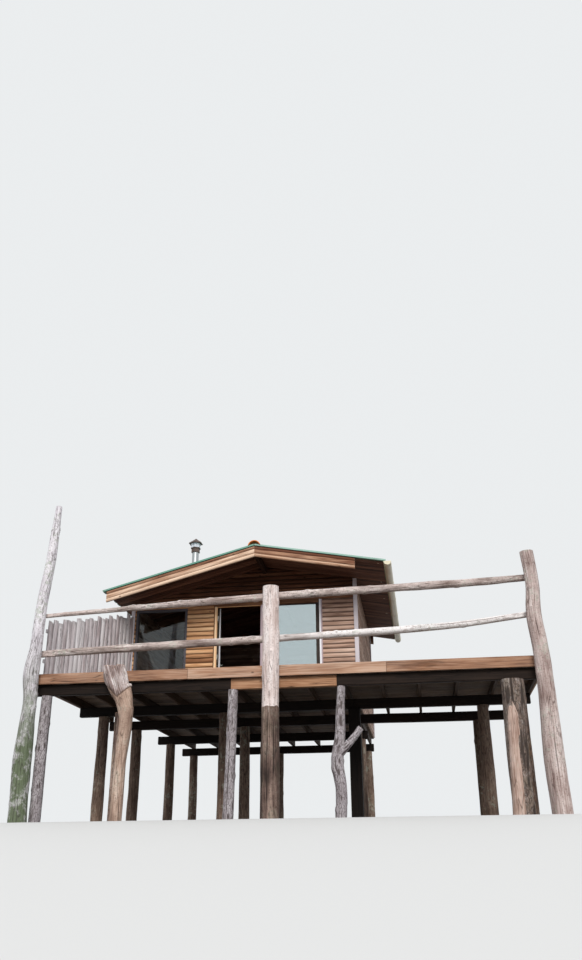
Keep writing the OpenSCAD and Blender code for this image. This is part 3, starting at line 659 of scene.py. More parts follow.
def barked(name, colours, hollow_colour, lichen, plates, moss=0.0, depth=0.007, gap_width=0.16):
    """A log in its bark: small plates with dark cracks between them and pale lichen on top."""
    g = Graph(name)
    warp = g.times(g.noise(g.grain, (5, 12, 12)), 0.05)
    shifted = g.add("VectorMath", {0: g.grain, 1: warp}, operation="ADD")
    edge = g.cells(shifted, (plates[0], plates[1], plates[1]), "DISTANCE_TO_EDGE")
    gap = g.range(edge, 0.02, gap_width, 1.0, 0.0)
    fine = g.noise(g.grain, (30, 80, 80), 4.0, 0.7)
    broad = g.noise(g.grain, (2.5, 9, 9))
    value = g.sum((fine, 0.9), (broad, 0.9), (g.tone, 0.1))
    colour = g.ramp(value, colours, (0.2, 0.5, 0.8))
    spot = g.noise(g.grain, (16, 26, 26), 4.0, 0.65)
    colour = g.over(colour, g.range(g.sum((spot, 1.1), (broad, 0.4)), 0.52, 0.66), lichen, (188, 184, 182))
    if moss:
        tuft = g.noise(g.place(), (5, 5, 4), 5.0, 0.7)
        colour = g.over(colour, g.range(tuft, 0.5, 0.66), moss, (92, 102, 66))
    # The mark adds the log's cracks and knots, and painted shade in its bark furrows.
    hollow = g.math("MAXIMUM", g.times(gap, 0.8), g.range(g.mark, 0.1, 0.8))
    colour = g.over(colour, hollow, 0.88, hollow_colour)
    colour = end_rings(g, colour, (190, 150, 120), (120, 84, 64))
    height = g.sum((fine, 0.35), (hollow, -1.0), (spot, 0.2))
    return g.finish(colour, 0.92, g.bump(height, depth, 1.0))


def painted(name, base, dirt, rough, streaks, dirt_share, metallic=0.0, speck=0.15, light=None):
    """Painted or coated sheet: slightly uneven colour, grime in streaks and small specks."""
    g = Graph(name)
    cloud = g.noise(g.place(), 1.4)
    run = g.noise(g.place(), streaks, 5.0, 0.62)
    spot = g.noise(g.place(), 42, 3.0, 0.6)
    pale = light or [min(255, c * 1.12 + 6) for c in base]
    colour = g.mix(g.range(g.sum((cloud, 1.0), (g.tone, 0.5)), 0.2, 0.8), srgb(*base), srgb(*pale))
    grime = g.range(g.sum((run, 1.0), (cloud, 0.5)), 0.72 - dirt_share * 0.4, 0.95 - dirt_share * 0.3)
    colour = g.over(colour, grime, 0.55, dirt)
    colour = g.over(colour, g.range(spot, 0.66, 0.74), speck * 4, dirt)
    colour = g.over(colour, g.mark, 0.7, dirt)
    height = g.sum((run, 0.4), (spot, 0.3))
    roughness = g.range(grime, 0, 1, rough, min(1.0, rough + 0.3))
    return g.finish(colour, roughness, g.bump(height, 0.0008, 0.5), Metallic=metallic)


def fired_clay(name):
    """Clay tile: mottled orange with soot, salt bloom and lichen."""
    g = Graph(name)
    cloud = g.noise(g.grain, 6, 4.0, 0.6)
    grit = g.noise(g.grain, 120, 3.0, 0.7)
    value = g.sum((cloud, 1.0), (grit, 0.4), (g.tone, 0.7))
    colour = g.ramp(value, ((172, 88, 48), (228, 132, 64), (242, 168, 104)), (0.15, 0.5, 0.8))
    colour = g.over(colour, g.range(g.noise(g.place(), 2.6, 5.0, 0.7), 0.5, 0.68), 0.6, (84, 66, 54))
    colour = g.over(colour, g.range(g.noise(g.place(), 23, 3.0, 0.6), 0.62, 0.68), 0.7, (190, 188, 160))
    return g.finish(colour, 0.85, g.bump(g.sum((cloud, 0.5), (grit, 0.6)), 0.002, 0.8))


def glass(name, mirror=0.0):
    """Window glass with a faint green body and a few dried drops, and a share of it mirror."""
    g = Graph(name)
    film = g.noise(g.place(), (2.0, 2.0, 3.0), 5.0, 0.6)
    rough = g.range(film, 0.45, 0.75, 0.0, 0.09)
    return g.finish(srgb(226, 238, 240), rough, Transmission_Weight=1.0, IOR=1.5, Metallic=mirror)


# Finishes, with colours from dark to light

FRONT_BOARD = sawn("front_board", ((112, 74, 52), (166, 122, 94), (198, 160, 135), (219, 188, 165)),
                   0.25, 0.25, crack_share=0.3, places=(0.15, 0.42, 0.66, 0.9))
NEW_BEAM = sawn("new_beam", ((104, 68, 46), (158, 114, 84), (196, 154, 122)), 0.85, crack_share=0.2)
# Painted shade: the old beams and the squared post are darkened almost to black for the deep shade under the
# deck.
OLD_BEAM_PAINTED_SHADE = sawn("old_beam_painted_shade", ((10, 7, 6), (23, 16, 13), (44, 33, 27)), 0.3, 0.15, (50, 42, 37), 0.6)
# Painted shade: the joists are darkened for the shade under the deck.
JOIST_WOOD_PAINTED_SHADE = sawn("joist_wood_painted_shade", ((32, 22, 17), (58, 42, 32), (84, 63, 49)), 0.3, 0.15, (100, 88, 78))
# Old dark boards, darkened further as painted shade for the deck's shadowed underside.
OLD_DECK_WOOD_AND_SHADE = sawn("old_deck_wood_and_shade", ((74, 54, 42), (112, 86, 68), (144, 118, 98)), 0.25, 0.4, crack_share=0.35)
SLAB_WOOD = sawn("slab_wood", ((176, 160, 162), (238, 231, 233), (248, 245, 246)), 0.35, 0.4, (236, 230, 232),
                 0.7, (0.15, 0.45, 0.85))
WARM_CLADDING = sawn("warm_cladding", ((138, 94, 64), (210, 158, 114), (242, 202, 158)), 0.3)
WORN_CLADDING = sawn("worn_cladding", ((132, 100, 84), (200, 163, 142), (232, 204, 186)), 0.3, 0.25)
# Painted shade: the warm cladding darkened for the gable in the shade of the roof's overhang.
GABLE_CLADDING_PAINTED_SHADE = sawn("gable_cladding_painted_shade", ((68, 42, 30), (110, 72, 53), (144, 104, 79)), 0.3)
PINE = sawn("pine", ((220, 164, 116), (246, 202, 154), (253, 226, 190)), 0.35)
# Painted shade: pine darkened to dark brown for the door head in the shade of the eave, also used for the
# strip left of the jamb.
HEAD_WOOD_PAINTED_SHADE = sawn("head_wood_painted_shade", ((64, 40, 28), (98, 66, 46), (130, 94, 68)), 0.2)
DARK_FRAME = sawn("dark_frame", ((40, 34, 32), (66, 58, 54), (90, 80, 74)), 0.1)
GREY_FRAME = sawn("grey_frame", ((46, 44, 46), (74, 72, 76), (98, 96, 102)), 0.1)
SOFFIT = sawn("soffit", ((60, 40, 32), (98, 68, 56), (128, 94, 78)), 0.2)
RIDGE_WOOD = sawn("ridge_wood", ((34, 22, 17), (58, 39, 30), (80, 57, 44)), 0.3, crack_share=0.4)
BARGE = sawn("barge", ((112, 68, 48), (180, 138, 110), (236, 206, 180)), 0.35, 0.1, crack_share=0.2)
CORNER = painted("corner_paint", (194, 187, 192), (146, 134, 132), 0.62, (9, 9, 1.2), 0.4)
# Painted shade: white paint drawn mauve-grey where the mullion, a stop and the right jamb lie in shade.
MAUVE_PAINTED_SHADE_TRIM = painted("mauve_painted_shade_trim", (172, 154, 160), (124, 106, 106), 0.6, (9, 9, 1.2), 0.4)
WHITE_PAINT = painted("white_paint", (214, 214, 218), (176, 168, 162), 0.38, (9, 9, 1.2), 0.15, speck=0.05)
CREAM = painted("gutter_cream", (206, 198, 172), (128, 108, 84), 0.4, (1.5, 1.5, 4), 0.5)
SHEET = painted("roof_sheet", (90, 148, 128), (74, 98, 82), 0.42, (1.2, 7, 7), 0.45, light=(148, 186, 172))
STEEL = painted("flue_metal", (158, 162, 164), (110, 104, 98), 0.42, (9, 9, 1.4), 0.35, 0.7)
LANTERN = painted("lantern_metal", (196, 201, 208), (132, 130, 130), 0.4, (9, 9, 1.4), 0.15, 0.25, 0.04)
COWL = painted("cowl_metal", (84, 70, 64), (60, 46, 40), 0.55, (9, 9, 2), 0.5, 0.35)
SCREW = painted("screw_steel", (146, 142, 136), (96, 76, 60), 0.45, (30, 30, 30), 0.4, 0.8)
HANDLE = painted("handle_metal", (196, 196, 192), (150, 146, 140), 0.28, (12, 12, 12), 0.2, 0.9)
CLAY = fired_clay("fired_clay")
GLASS = glass("clear_glass")
BRIGHT_GLASS = glass("bright_glass", 0.55)

DARK_STEM = peeled("dark_stem", ((46, 34, 30), (106, 86, 78), (158, 136, 124)), (28, 20, 18), 0.3,
                   (66, 50, 44), 0.1, 0.1, dashes=0.5, places=(0.25, 0.5, 0.75))
POST_BARK = barked("post_bark", ((58, 42, 34), (98, 74, 60), (132, 108, 92)), (30, 21, 17), 0.2, (5, 30), 0.1)
POST_PEELED = peeled("post_peeled", ((182, 157, 148), (237, 223, 219), (247, 241, 239)), (86, 66, 60), 0.25,
                     (164, 136, 124), 0.1, dashes=0.55)
GREY_BARK = barked("grey_bark", ((128, 119, 121), (176, 168, 172), (208, 202, 206)), (66, 54, 52), 0.5,
                   (13, 44), depth=0.003, gap_width=0.09)
BROWN_BARK = barked("brown_bark", ((84, 68, 60), (130, 112, 102), (158, 142, 132)), (42, 32, 28), 0.4,
                    (10, 34), 0.2, 0.004, 0.11)
RAIL_LOG = peeled("rail_log", ((124, 106, 99), (212, 196, 190), (241, 233, 230)), (78, 62, 56), 0.4,
                  (128, 108, 100), 0.5, dashes=0.7)
PALE_RAIL = peeled("pale_rail", ((178, 166, 162), (237, 231, 229), (247, 244, 243)), (104, 88, 82), 0.3,
                   (166, 150, 144), 0.4, dashes=0.55)
LEFT_TRUNK = peeled("left_trunk", ((150, 142, 147), (226, 220, 226), (243, 240, 244)), (54, 46, 44), 0.35,
                    (112, 102, 100), 0.6, 0.95, 2.7, 0.6, (0.2, 0.48, 0.8))
RIGHT_TRUNK = peeled("right_trunk", ((124, 100, 94), (194, 175, 169), (232, 220, 216)), (80, 62, 56), 0.3,
                     (140, 114, 104), 0.35, dashes=0.65)
PALE_TRUNK = peeled("pale_trunk", ((146, 116, 102), (206, 180, 167), (230, 212, 203)), (74, 52, 40), 0.3,
                    (140, 112, 92), 0.2)
CROWN_TRUNK = peeled("crown_trunk", ((136, 110, 96), (190, 163, 146), (220, 199, 184)), (74, 56, 46), 0.3,
                     (132, 108, 92), 0.2, dashes=0.5,
                     other=(((76, 56, 49), (162, 143, 139), (230, 221, 219)), (0.3, 0.5, 0.72)))
BACK_LOG = peeled("back_log", ((82, 64, 54), (128, 106, 92), (158, 138, 122)), (52, 38, 32), 0.5,
                  (84, 66, 56), 0.4)


# Posts

FRONT_POST_Y, FRONT_POST_TOP = 0.25, 1.892
DECK_EDGE_SEAT = (2, 1.888, 2.226, 0.125, -1)
RAIL_HALF = 0.075
SEAT_REACH = 0.3
BACK_WIDTHS = [0.205, 0.196, 0.186]
BACK_LEAN = 0.012
LIP = 1.56


def on_post(level, flat):
    """The seat where a rail lies flat on a post, read along the post's height."""
    return (2, DECK + level - RAIL_HALF, DECK + level + RAIL_HALF, flat, -1)


def log_piece(name, finish, node, slot, *logs):
    """Makes a piece of logs. A row holds a log's path, widths, seed, sides, step, lumps and other options."""
    pile = Pile()
    for *row, options in logs:
        log(pile, *row, **options)
    pile.piece(name, finish, node, slot)


def upright(y, *places):
    """The path of a log that stands at one depth, from (x, z) pairs."""
    return [(x, y, z) for x, z in places]


def make_central_post():
    """A dark wet stem with long grooves below a lip, peeled and cracked wood above it."""
    log_piece("central_post_stem", DARK_STEM, "central_post", "bark_log", (
        upright(0, (0, 0), (0, 0.8), (0, LIP + 0.008)), [0.28, 0.27, 0.262], 3, 88, 0.022, 0.012,
        dict(bark=0.007, bark_scale=(0.8, 24, 24), fissures=5, fissure_depth=0.01, ragged=0.012)))
    log_piece("central_post_peeled", POST_PEELED, "central_post", "peeled_log", (
        upright(0, (0, LIP - 0.1), (0.004, 2.4), (0, 3.427)), [0.254, 0.256, 0.25], 11, 88, 0.022, 0.025,
        dict(fissures=7, knots=18, seats=[DECK_EDGE_SEAT, on_post(0.424, 0.114), on_post(1.103, 0.114)])))


def make_trunks():
    """The two bare trunks at the ends of the deck and the thick split one inside them."""
    log_piece("left_trunk_log", LEFT_TRUNK, "left_trunk", "pale_trunk", (
        [(-3.77, 0, 0), (-3.8, 0, 1.2), (-3.79, 0, 1.85), (-3.815, 0, 2.2), (-3.787, 0, 2.56),
         (-3.765, -0.005, 3.3), (-3.7, 0, 4.05), (-3.66, 0, 5.04)],
        [0.278, 0.258, 0.208, 0.242, 0.202, 0.172, 0.158, 0.096], 5, 56, 0.03, 0.08,
        dict(knots=22, fissures=3, fissure_depth=0.008,
             seats=[DECK_EDGE_SEAT, on_post(0.934, 0.078), on_post(0.316, 0.098)])))
    log_piece("right_trunk_log", RIGHT_TRUNK, "right_trunk", "pale_trunk", (
        [(4.02, 0, 0), (4.0, 0, 0.75), (4.01, 0, 1.65), (4.0, 0.005, 2.3), (3.965, 0.01, 2.83),
         (3.995, 0.01, 3.25), (3.966, 0.005, 3.785)],
        [0.286, 0.288, 0.242, 0.23, 0.222, 0.2, 0.206], 8, 64, 0.03, 0.04,
        dict(knots=7, fissures=9, fissure_depth=0.01,
             seats=[DECK_EDGE_SEAT, on_post(1.206, 0.106), on_post(0.638, 0.116)])))
    log_piece("split_post_stem", BROWN_BARK, "split_post", "bark_log", (
        upright(FRONT_POST_Y, (3.56, 0), (3.552, 0.9), (3.56, FRONT_POST_TOP)),
        [0.318, 0.326, 0.336], 13, 64, 0.03, 0.05,
        dict(bark=0.004, bark_scale=(2.5, 22, 22), fissures=6, fissure_depth=0.02, flutes=0.07, knots=3)))
    log_piece("split_post_heart", PALE_TRUNK, "split_post", "pale_trunk", (
        [(3.485, 0.178, 0), (3.512, 0.174, 0.9), (3.53, 0.178, 1.5), (3.535, 0.215, 1.78)],
        [0.226, 0.205, 0.19, 0.15], 14, 48, 0.03, 0.04, dict(fissures=5, knots=2)))
    log_piece("split_post_side", POST_BARK, "split_post", "bark_log", (
        [(3.66, 0.235, 0), (3.665, 0.235, 0.6), (3.672, 0.24, 1.832)], [0.17, 0.15, 0.14], 15, 36, 0.03, 0.05,
        dict(bark=0.004, bark_scale=(3, 30, 30), fissures=2, fissure_depth=0.01, knots=4)))


def make_bark_posts():
    """The thinner front posts, in their bark."""
    thin_bark = dict(bark=0.003, bark_scale=(9, 34, 34), knots=4)
    log_piece("left_corner_post_log", GREY_BARK, "left_corner_post", "bark_log", (
        upright(FRONT_POST_Y, (-3.61, 0), (-3.62, 0.9), (-3.618, FRONT_POST_TOP)),
        [0.182, 0.174, 0.166], 21, 48, 0.03, 0.05, thin_bark))
    log_piece("bark_post_log", GREY_BARK, "bark_post", "bark_log", (
        upright(FRONT_POST_Y, (-0.665, 0), (-0.64, 0.9), (-0.622, FRONT_POST_TOP)),
        [0.163, 0.155, 0.147], 22, 48, 0.03, 0.05, dict(thin_bark, fissures=2)))
    log_piece("crooked_post_log", GREY_BARK, "crooked_post", "bark_log", (
        upright(FRONT_POST_Y, (0.985, 0), (1.0, 0.42), (0.955, 0.83), (1.01, 1.19), (1.02, 1.55),
                (1.04, FRONT_POST_TOP)),
        [0.16, 0.166, 0.176, 0.152, 0.132, 0.118], 23, 48, 0.03, 0.06,
        dict(bark=0.004, bark_scale=(7, 28, 28), knots=8)), (
        [(0.99, 0.25, 0.92), (1.10, 0.247, 1.02), (1.318, 0.24, 1.27)], [0.15, 0.115, 0.098], 24, 36, 0.02,
        0.04, dict(bark=0.003, bark_scale=(9, 30, 30))))


def leaning_logs(name, node, places, seed, sides, lumps, knot_count):
    """Plain logs that lean a little, up to the beams."""
    rows = []
    for i, (x, y) in enumerate(places):
        path = upright(y, (x, 0), (x + rng.uniform(-BACK_LEAN, BACK_LEAN), 0.95), (x, BEARER_FOOT))
        rows.append((path, BACK_WIDTHS, seed + i, sides, lumps, 0.05, dict(fissures=2, knots=knot_count)))
    log_piece(name, BACK_LOG, node, "peeled_log", *rows)


def make_back_posts():
    """Plain logs under the deck and the cabin, and one squared post."""
    leaning_logs("rear_post_logs", "rear_posts", [(-3.4, 2.3), (-1.2, 2.3), (3.25, 2.3), (-3.3, 3.9),
                                                  (-1.15, 3.9), (1.0, 3.9), (3.25, 3.9)], 30, 32, 0.06, 3)
    pile = Pile()
    board(pile, (0.982, 2.202, 0), (1.178, 2.398, BEARER_FOOT), 2, 0.012, step=0.12, wave=0.003,
          chamfer=0.006)
    pile.piece("squared_rear_post", OLD_BEAM_PAINTED_SHADE, "rear_posts", "old_timber")
    leaning_logs("cabin_post_logs", "cabin_posts", [(x, y) for y in (6.0, 8.05) for x in (-3.2, -1.13, 0.94)],
                 50, 28, 0.07, 2)


def make_rails():
    """Peeled rail logs that lie flat on the posts in front of them."""
    def seat(x, flat):
        return (0, x - SEAT_REACH, x + SEAT_REACH, flat, 1)
    upper, lower = (0.165, 1.103), (0.165, 0.424)
    runs = [
        ("upper_rail_left", [(-3.798, 0.1, 0.932), (-2.5, 0.13, 0.998), (-1.5, 0.146, 1.043),
                             (-0.004, *upper)],
         [0.062, 0.082, 0.104, 0.112], [seat(-3.78, 0.078), seat(0, 0.114)], RAIL_LOG),
        ("upper_rail_right", [(0.004, *upper), (1.5, 0.162, 1.136), (3.4, 0.155, 1.178), (4.07, 0.15, 1.208)],
         [0.114, 0.122, 0.116, 0.1], [seat(0, 0.114), seat(4.0, 0.106)], RAIL_LOG),
        ("lower_rail_left", [(-3.855, 0.13, 0.314), (-2.5, 0.142, 0.36), (-0.004, *lower)],
         [0.106, 0.122, 0.112], [seat(-3.79, 0.098), seat(0, 0.114)], RAIL_LOG),
        ("lower_rail_right", [(0.004, *lower), (2.0, 0.152, 0.474), (2.8, 0.15, 0.51), (4.07, 0.155, 0.645)],
         [0.107, 0.108, 0.1, 0.09], [seat(0, 0.114), seat(4.0, 0.116)], PALE_RAIL),
    ]
    for seed, (node, points, widths, seats, finish) in enumerate(runs, 61):
        path = [(x, y, DECK + z) for x, y, z in points]
        log_piece(node + "_log", finish, node, "peeled_log", (
            path, widths, seed, 40, 0.03, 0.09, dict(fissures=5, fissure_depth=0.006, knots=14, seats=seats)))


def melted(pile, voxel):
    """The outer skin of solids that run into each other, as points, normals and faces."""
    mesh = pile.mesh("melt")
    lump = bpy.data.objects.new("melt", mesh)
    bpy.context.scene.collection.objects.link(lump)
    skin = lump.modifiers.new("skin", "REMESH")
    skin.mode = "VOXEL"
    skin.voxel_size = voxel
    done = lump.evaluated_get(bpy.context.evaluated_depsgraph_get()).to_mesh()
    verts, normals = np.empty(len(done.vertices) * 3), np.empty(len(done.vertices) * 3)
    done.vertices.foreach_get("co", verts)
    done.vertices.foreach_get("normal", normals)
    faces = [tuple(face.vertices) for face in done.polygons]
    bpy.data.objects.remove(lump)
    bpy.data.meshes.remove(mesh)
    return verts.reshape(-1, 3), normals.reshape(-1, 3), faces


def make_flared_post():
    """A peeled trunk that spreads into a torn crown with a notch and a side lobe."""
    solid = Pile()
    stems = [
        ([(-2.28, 0), (-2.262, 0.9), (-2.232, 1.35), (-2.228, 1.64)], [0.184, 0.174, 0.198, 0.214]),
        ([(-2.228, 1.5), (-2.33, 1.78), (-2.455, 1.96), (-2.53, 2.12), (-2.556, 2.275)],
         [0.2, 0.2, 0.186, 0.176, 0.168]),
        ([(-2.228, 1.55), (-2.238, 1.8), (-2.262, 1.98)], [0.21, 0.178, 0.14]),
        ([(-2.262, 1.7), (-2.32, 1.95), (-2.386, 2.275)], [0.186, 0.186, 0.15]),
        ([(-2.33, 1.75), (-2.43, 1.98), (-2.468, 2.215)], [0.176, 0.176, 0.14]),
    ]
    for seed, (places, widths) in enumerate(stems, 71):
        log(solid, upright(0.032, *places), widths, seed, 28, 0.06, 0.02)
    verts, normals, faces = melted(solid, 0.0105)
    middle = np.interp(verts[:, 2], [0, 0.9, 1.6, 2.27], [-2.28, -2.262, -2.228, -2.47])
    local = np.stack([verts[:, 2], verts[:, 0] - middle, verts[:, 1]], -1) + chance_place()
    lap = verts[:, 2] - 1.8 - 0.9 * np.abs(verts[:, 0] + 2.36)
    torn = np.clip(lap / 0.02 + 0.5, 0, 1)
    fibres = noise(local, (3.5, 46, 46), 81)
    folds = fractal(local, (2.2, 15, 15), 2, 82)
    push = 0.005 * folds + 0.0035 * fibres
    push += torn * (0.009 + 0.008 * noise(local, (2.5, 24, 24), 83) + 0.004 * fibres)
    verts = verts + normals * push[:, None]
    verts[:, 2] += np.clip((verts[:, 2] - 2.15) / 0.1, 0, 1) * 0.016 * noise(local, (0, 40, 40), 84)
    _, edge_low, edge_high, edge_y, _ = DECK_EDGE_SEAT
    at_edge = (verts[:, 2] > edge_low) & (verts[:, 2] < edge_high)
    verts[:, 1] = np.where(at_edge, np.minimum(verts[:, 1], edge_y - 0.001), verts[:, 1])
    verts[:, 2] = np.clip(verts[:, 2], 0, 2.288)
    # Painted shade in the sunken folds and fibres, stronger on the torn crown.
    mark = np.clip(-fibres * 0.9 - folds * 0.8 - 0.2, 0, 1) * (0.35 + 0.65 * torn)
    # A painted shadow line just under the step where the torn crown stands out.
    mark = np.maximum(mark, 0.9 * np.exp(-((lap + 0.012) / 0.012) ** 2))
    ends = np.clip((verts[:, 2] - 2.22) / 0.04, 0, 1) * (normals[:, 2] > 0.5)
    pile = Pile()
    pile.add(verts, faces, local, torn, mark, ends * 0.5)
    pile.piece("flared_post_crown", CROWN_TRUNK, "flared_post", "pale_trunk", sharp=60)
    pile = Pile()
    bar(pile, (-2.385, 0.06, 0), (-2.383, 0.06, 1.575), rectangle(0.06, 0.03, 0.006), (0, 1, 0), step=0.08,
        wave=0.004, chamfer=0.006)
    pile.piece("flared_post_splint", DARK_STEM, "flared_post", "bark_log")


# Deck

JOIST_W = 0.05
JOISTS = 14
NEW_BEARER = (-0.65, 0.98)
FASCIA_T = 0.03
FASCIA_FOOT = 2.057
BOARD_ROWS, FLOOR_ROWS = 26, 32
BOARD_GAP = 0.006
BUTT_GAP = 0.002
SHORTEST_BOARD = 0.7
SCREW_IN = 0.03
BEAM_H = 0.165
FRONT_BEAM_Y = 0.25
REAR_BEAM_HALF = 0.049
HAIR = 0.0005


def joist_places():
    step = (DECK_RIGHT - DECK_LEFT - JOIST_W) / (JOISTS - 1)
    return [DECK_LEFT + i * step for i in range(JOISTS)]


def make_beams():
    """Joists, the beams under them and the boards on the deck's edges."""
    pile = Pile()
    for x in joist_places():
        back = joist_high.y if CABIN_LEFT <= x <= CABIN_RIGHT else DECK_BACK
        board(pile, (x, DECK_FRONT, joist_low.z), (x + JOIST_W, back, joist_high.z - HAIR), 1, 0.005,
              wave=0.002)
    pile.piece("joist_set", JOIST_WOOD_PAINTED_SHADE, "joists", "new_timber")
    low, high = joist_low.z - BEAM_H, joist_low.z - HAIR
    old = {"step": 0.2, "wave": 0.004, "chamfer": 0.006}
    pile = Pile()
    for x0, x1 in ((DECK_LEFT, NEW_BEARER[0] - 0.003), (NEW_BEARER[1] + 0.003, DECK_RIGHT)):
        board(pile, (x0, FRONT_BEAM_Y - 0.048, low), (x1, FRONT_BEAM_Y + 0.048, high), 0, 0.012, **old)
    pile.piece("old_front_beam", OLD_BEAM_PAINTED_SHADE, "old_front_bearer", "old_timber")
    pile = Pile()
    board(pile, (NEW_BEARER[0], FRONT_BEAM_Y - 0.05, low), (NEW_BEARER[1], FRONT_BEAM_Y + 0.05, high), 0,
          0.005, step=0.2, wave=0.002)
    pile.piece("new_front_beam", NEW_BEAM, "new_front_bearer", "new_timber")
    pile = Pile()
    for y, cuts in ((2.3, (-3.85, -1.2, 1.08, 4.05)), (3.9, (-3.85, -1.15, 1.0, 4.05)),
                    (6.0, (CABIN_LEFT, -1.13, CABIN_RIGHT)), (8.05, (CABIN_LEFT, -1.13, CABIN_RIGHT))):
        for x0, x1 in pairwise(cuts):
            board(pile, (x0, y - REAR_BEAM_HALF, low), (x1 - 0.003, y + REAR_BEAM_HALF, high), 0, 0.01, **old)
    pile.piece("rear_beams", OLD_BEAM_PAINTED_SHADE, "rear_bearers", "old_timber")
    pile = Pile()
    for x0, x1 in pairwise((DECK_LEFT, -1.32, 1.74, DECK_RIGHT)):
        board(pile, (x0, FASCIA_FRONT, FASCIA_FOOT), (x1 - BUTT_GAP, FASCIA_FRONT + FASCIA_T, DECK), 0,
              step=0.15, wave=0.0015)
    pile.piece("front_fascia_boards", FRONT_BOARD, "front_fascia", "deck_timber")
    pile = Pile()
    for x in (DECK_LEFT - FASCIA_T, DECK_RIGHT):
        board(pile, (x, FASCIA_FRONT, FASCIA_FOOT), (x + FASCIA_T, DECK_BACK, DECK), 1, wave=0.0015)
    pile.piece("end_fascia_boards", FRONT_BOARD, "end_fascias", "deck_timber")


def plank_row(pile, screws, y0, y1, x0, x1, row):
    """One row of boards, butted over joists in turn, with two screws at each joist."""
    joists = [x + JOIST_W / 2 for x in joist_places() if x0 < x < x1 - JOIST_W]
    butts = [x for i, x in enumerate(joists)
             if (i + row * 2) % 5 == 3 and x - x0 > SHORTEST_BOARD and x1 - x > SHORTEST_BOARD]
    for left, right in pairwise([x0, *butts, x1]):
        lift = rng.uniform(-0.0012, 0.0)
        board(pile, (left, y0, DECK - BOARD_T), (right - BUTT_GAP, y1, DECK + lift), 0, 0.0035,
              step=0.5, wave=0.0008)
    for x, y in product(joists if y1 - y0 > 3 * SCREW_IN else [], (y0 + SCREW_IN, y1 - SCREW_IN)):
        spot = (x + rng.uniform(-0.006, 0.006), y + rng.uniform(-0.004, 0.004), DECK)
        lathe(screws, spot, [(0.0032, -0.004), (0.0046, -0.0012), (0.0046, -0.0003)], 8)


def make_deck():
    """Planks along the front of the deck and under the cabin."""
    pile, screws = Pile(), Pile()
    pitch = (DECK_BACK - DECK_FRONT) / BOARD_ROWS
    for row in range(BOARD_ROWS):
        y0 = DECK_FRONT + row * pitch
        y1 = y0 + pitch - BOARD_GAP
        if y1 < WALL_FRONT:
            plank_row(pile, screws, y0, y1, DECK_LEFT, DECK_RIGHT, row)
            continue
        plank_row(pile, screws, y0, y1, DECK_LEFT, CABIN_LEFT - BUTT_GAP, row)
        plank_row(pile, screws, y0, y1, CABIN_RIGHT + BUTT_GAP, DECK_RIGHT, row)
        if y0 < WALL_FRONT - 0.02:
            plank_row(pile, screws, y0, WALL_FRONT - 0.003, CABIN_LEFT, CABIN_RIGHT, row)
    pile.piece("deck_planks", OLD_DECK_WOOD_AND_SHADE, "deck_boards", "deck_timber")
    screws.piece("deck_screws", SCREW, "deck_boards", "handle_metal")
    pile = Pile()
    pitch = (WALL_BACK - WALL_FRONT) / FLOOR_ROWS
    for row in range(FLOOR_ROWS):
        y0 = WALL_FRONT + row * pitch
        for x0, x1 in pairwise((CABIN_LEFT, CABIN_LEFT + 1.3 + (row * 0.61) % 1.8, CABIN_RIGHT)):
            board(pile, (x0, y0, DECK - BOARD_T), (x1 - BUTT_GAP, y0 + pitch - 0.003, DECK), 0, 0.003,
                  step=0.6, wave=0.0006)
    pile.piece("floor_planks", OLD_DECK_WOOD_AND_SHADE, "cabin_floor", "deck_timber")


# Screen

SCREEN_START, SCREEN_END = np.array([-3.795, 0.42]), np.array([-3.43, 3.64])
SLABS = 21
SLAB_GAP = 0.003
SLAB_T = 0.026
SLAB_H, SLAB_RISE, SLAB_UNEVEN = 0.94, 0.93, 0.035
SCREEN_RAIL_LEVELS = (0.28, 0.78)
SLAB_SECTION = np.array([(-1, 0.0), (-1, 0.32), (-0.72, 0.72), (-0.3, 0.95), (0.2, 1.0), (0.66, 0.8),
                         (1, 0.36), (1, 0.0), (0.4, 0.0), (-0.4, 0.0)])
# Painted shade along both edges of each slab, where the gaps between slabs are, and a little on the flat
# back.
SLAB_EDGE_SHADE = [0.9, 0.45, 0, 0, 0, 0, 0.45, 0.9, 0.3, 0.3]


def slab(pile, foot, way, out, width, height, seed):
    """An upright slab, flat behind and round in front, with wavy edges and a rough slanting top."""
    levels = np.linspace(0, height, max(8, int(height / 0.07)))
    line = np.stack([levels, np.full(len(levels), float(seed)), np.zeros(len(levels))], -1)
    left, right = (width / 2 * (0.97 + 0.03 * noise(line, (4.0, 1, 1), s)) - 0.001 for s in (90, 91))
    lean = 0.004 * noise(line, (1.2, 1, 1), 92)
    slant = rng.uniform(-0.02, 0.02)
    across, depth = SLAB_SECTION.T
    u = across * np.where(across > 0, right[:, None], left[:, None]) + lean[:, None]
    d = SLAB_T * (0.5 - depth) + 0.0015 * np.sin(9 * levels + seed)[:, None]
    up = np.repeat(levels[:, None], len(across), 1)
    grain = np.stack([up, u, d], -1) + chance_place()
    rings = np.empty(grain.shape)
    rings[..., :2] = foot + way * u[..., None] + out * d[..., None]
    rings[..., 2] = DECK + up
    rings[-1, :, 2] += slant * across
    ends = np.zeros(u.shape)
    ends[-1] = 1
    pile.sweep(rings, grain, rng.random(), SLAB_EDGE_SHADE, ends)


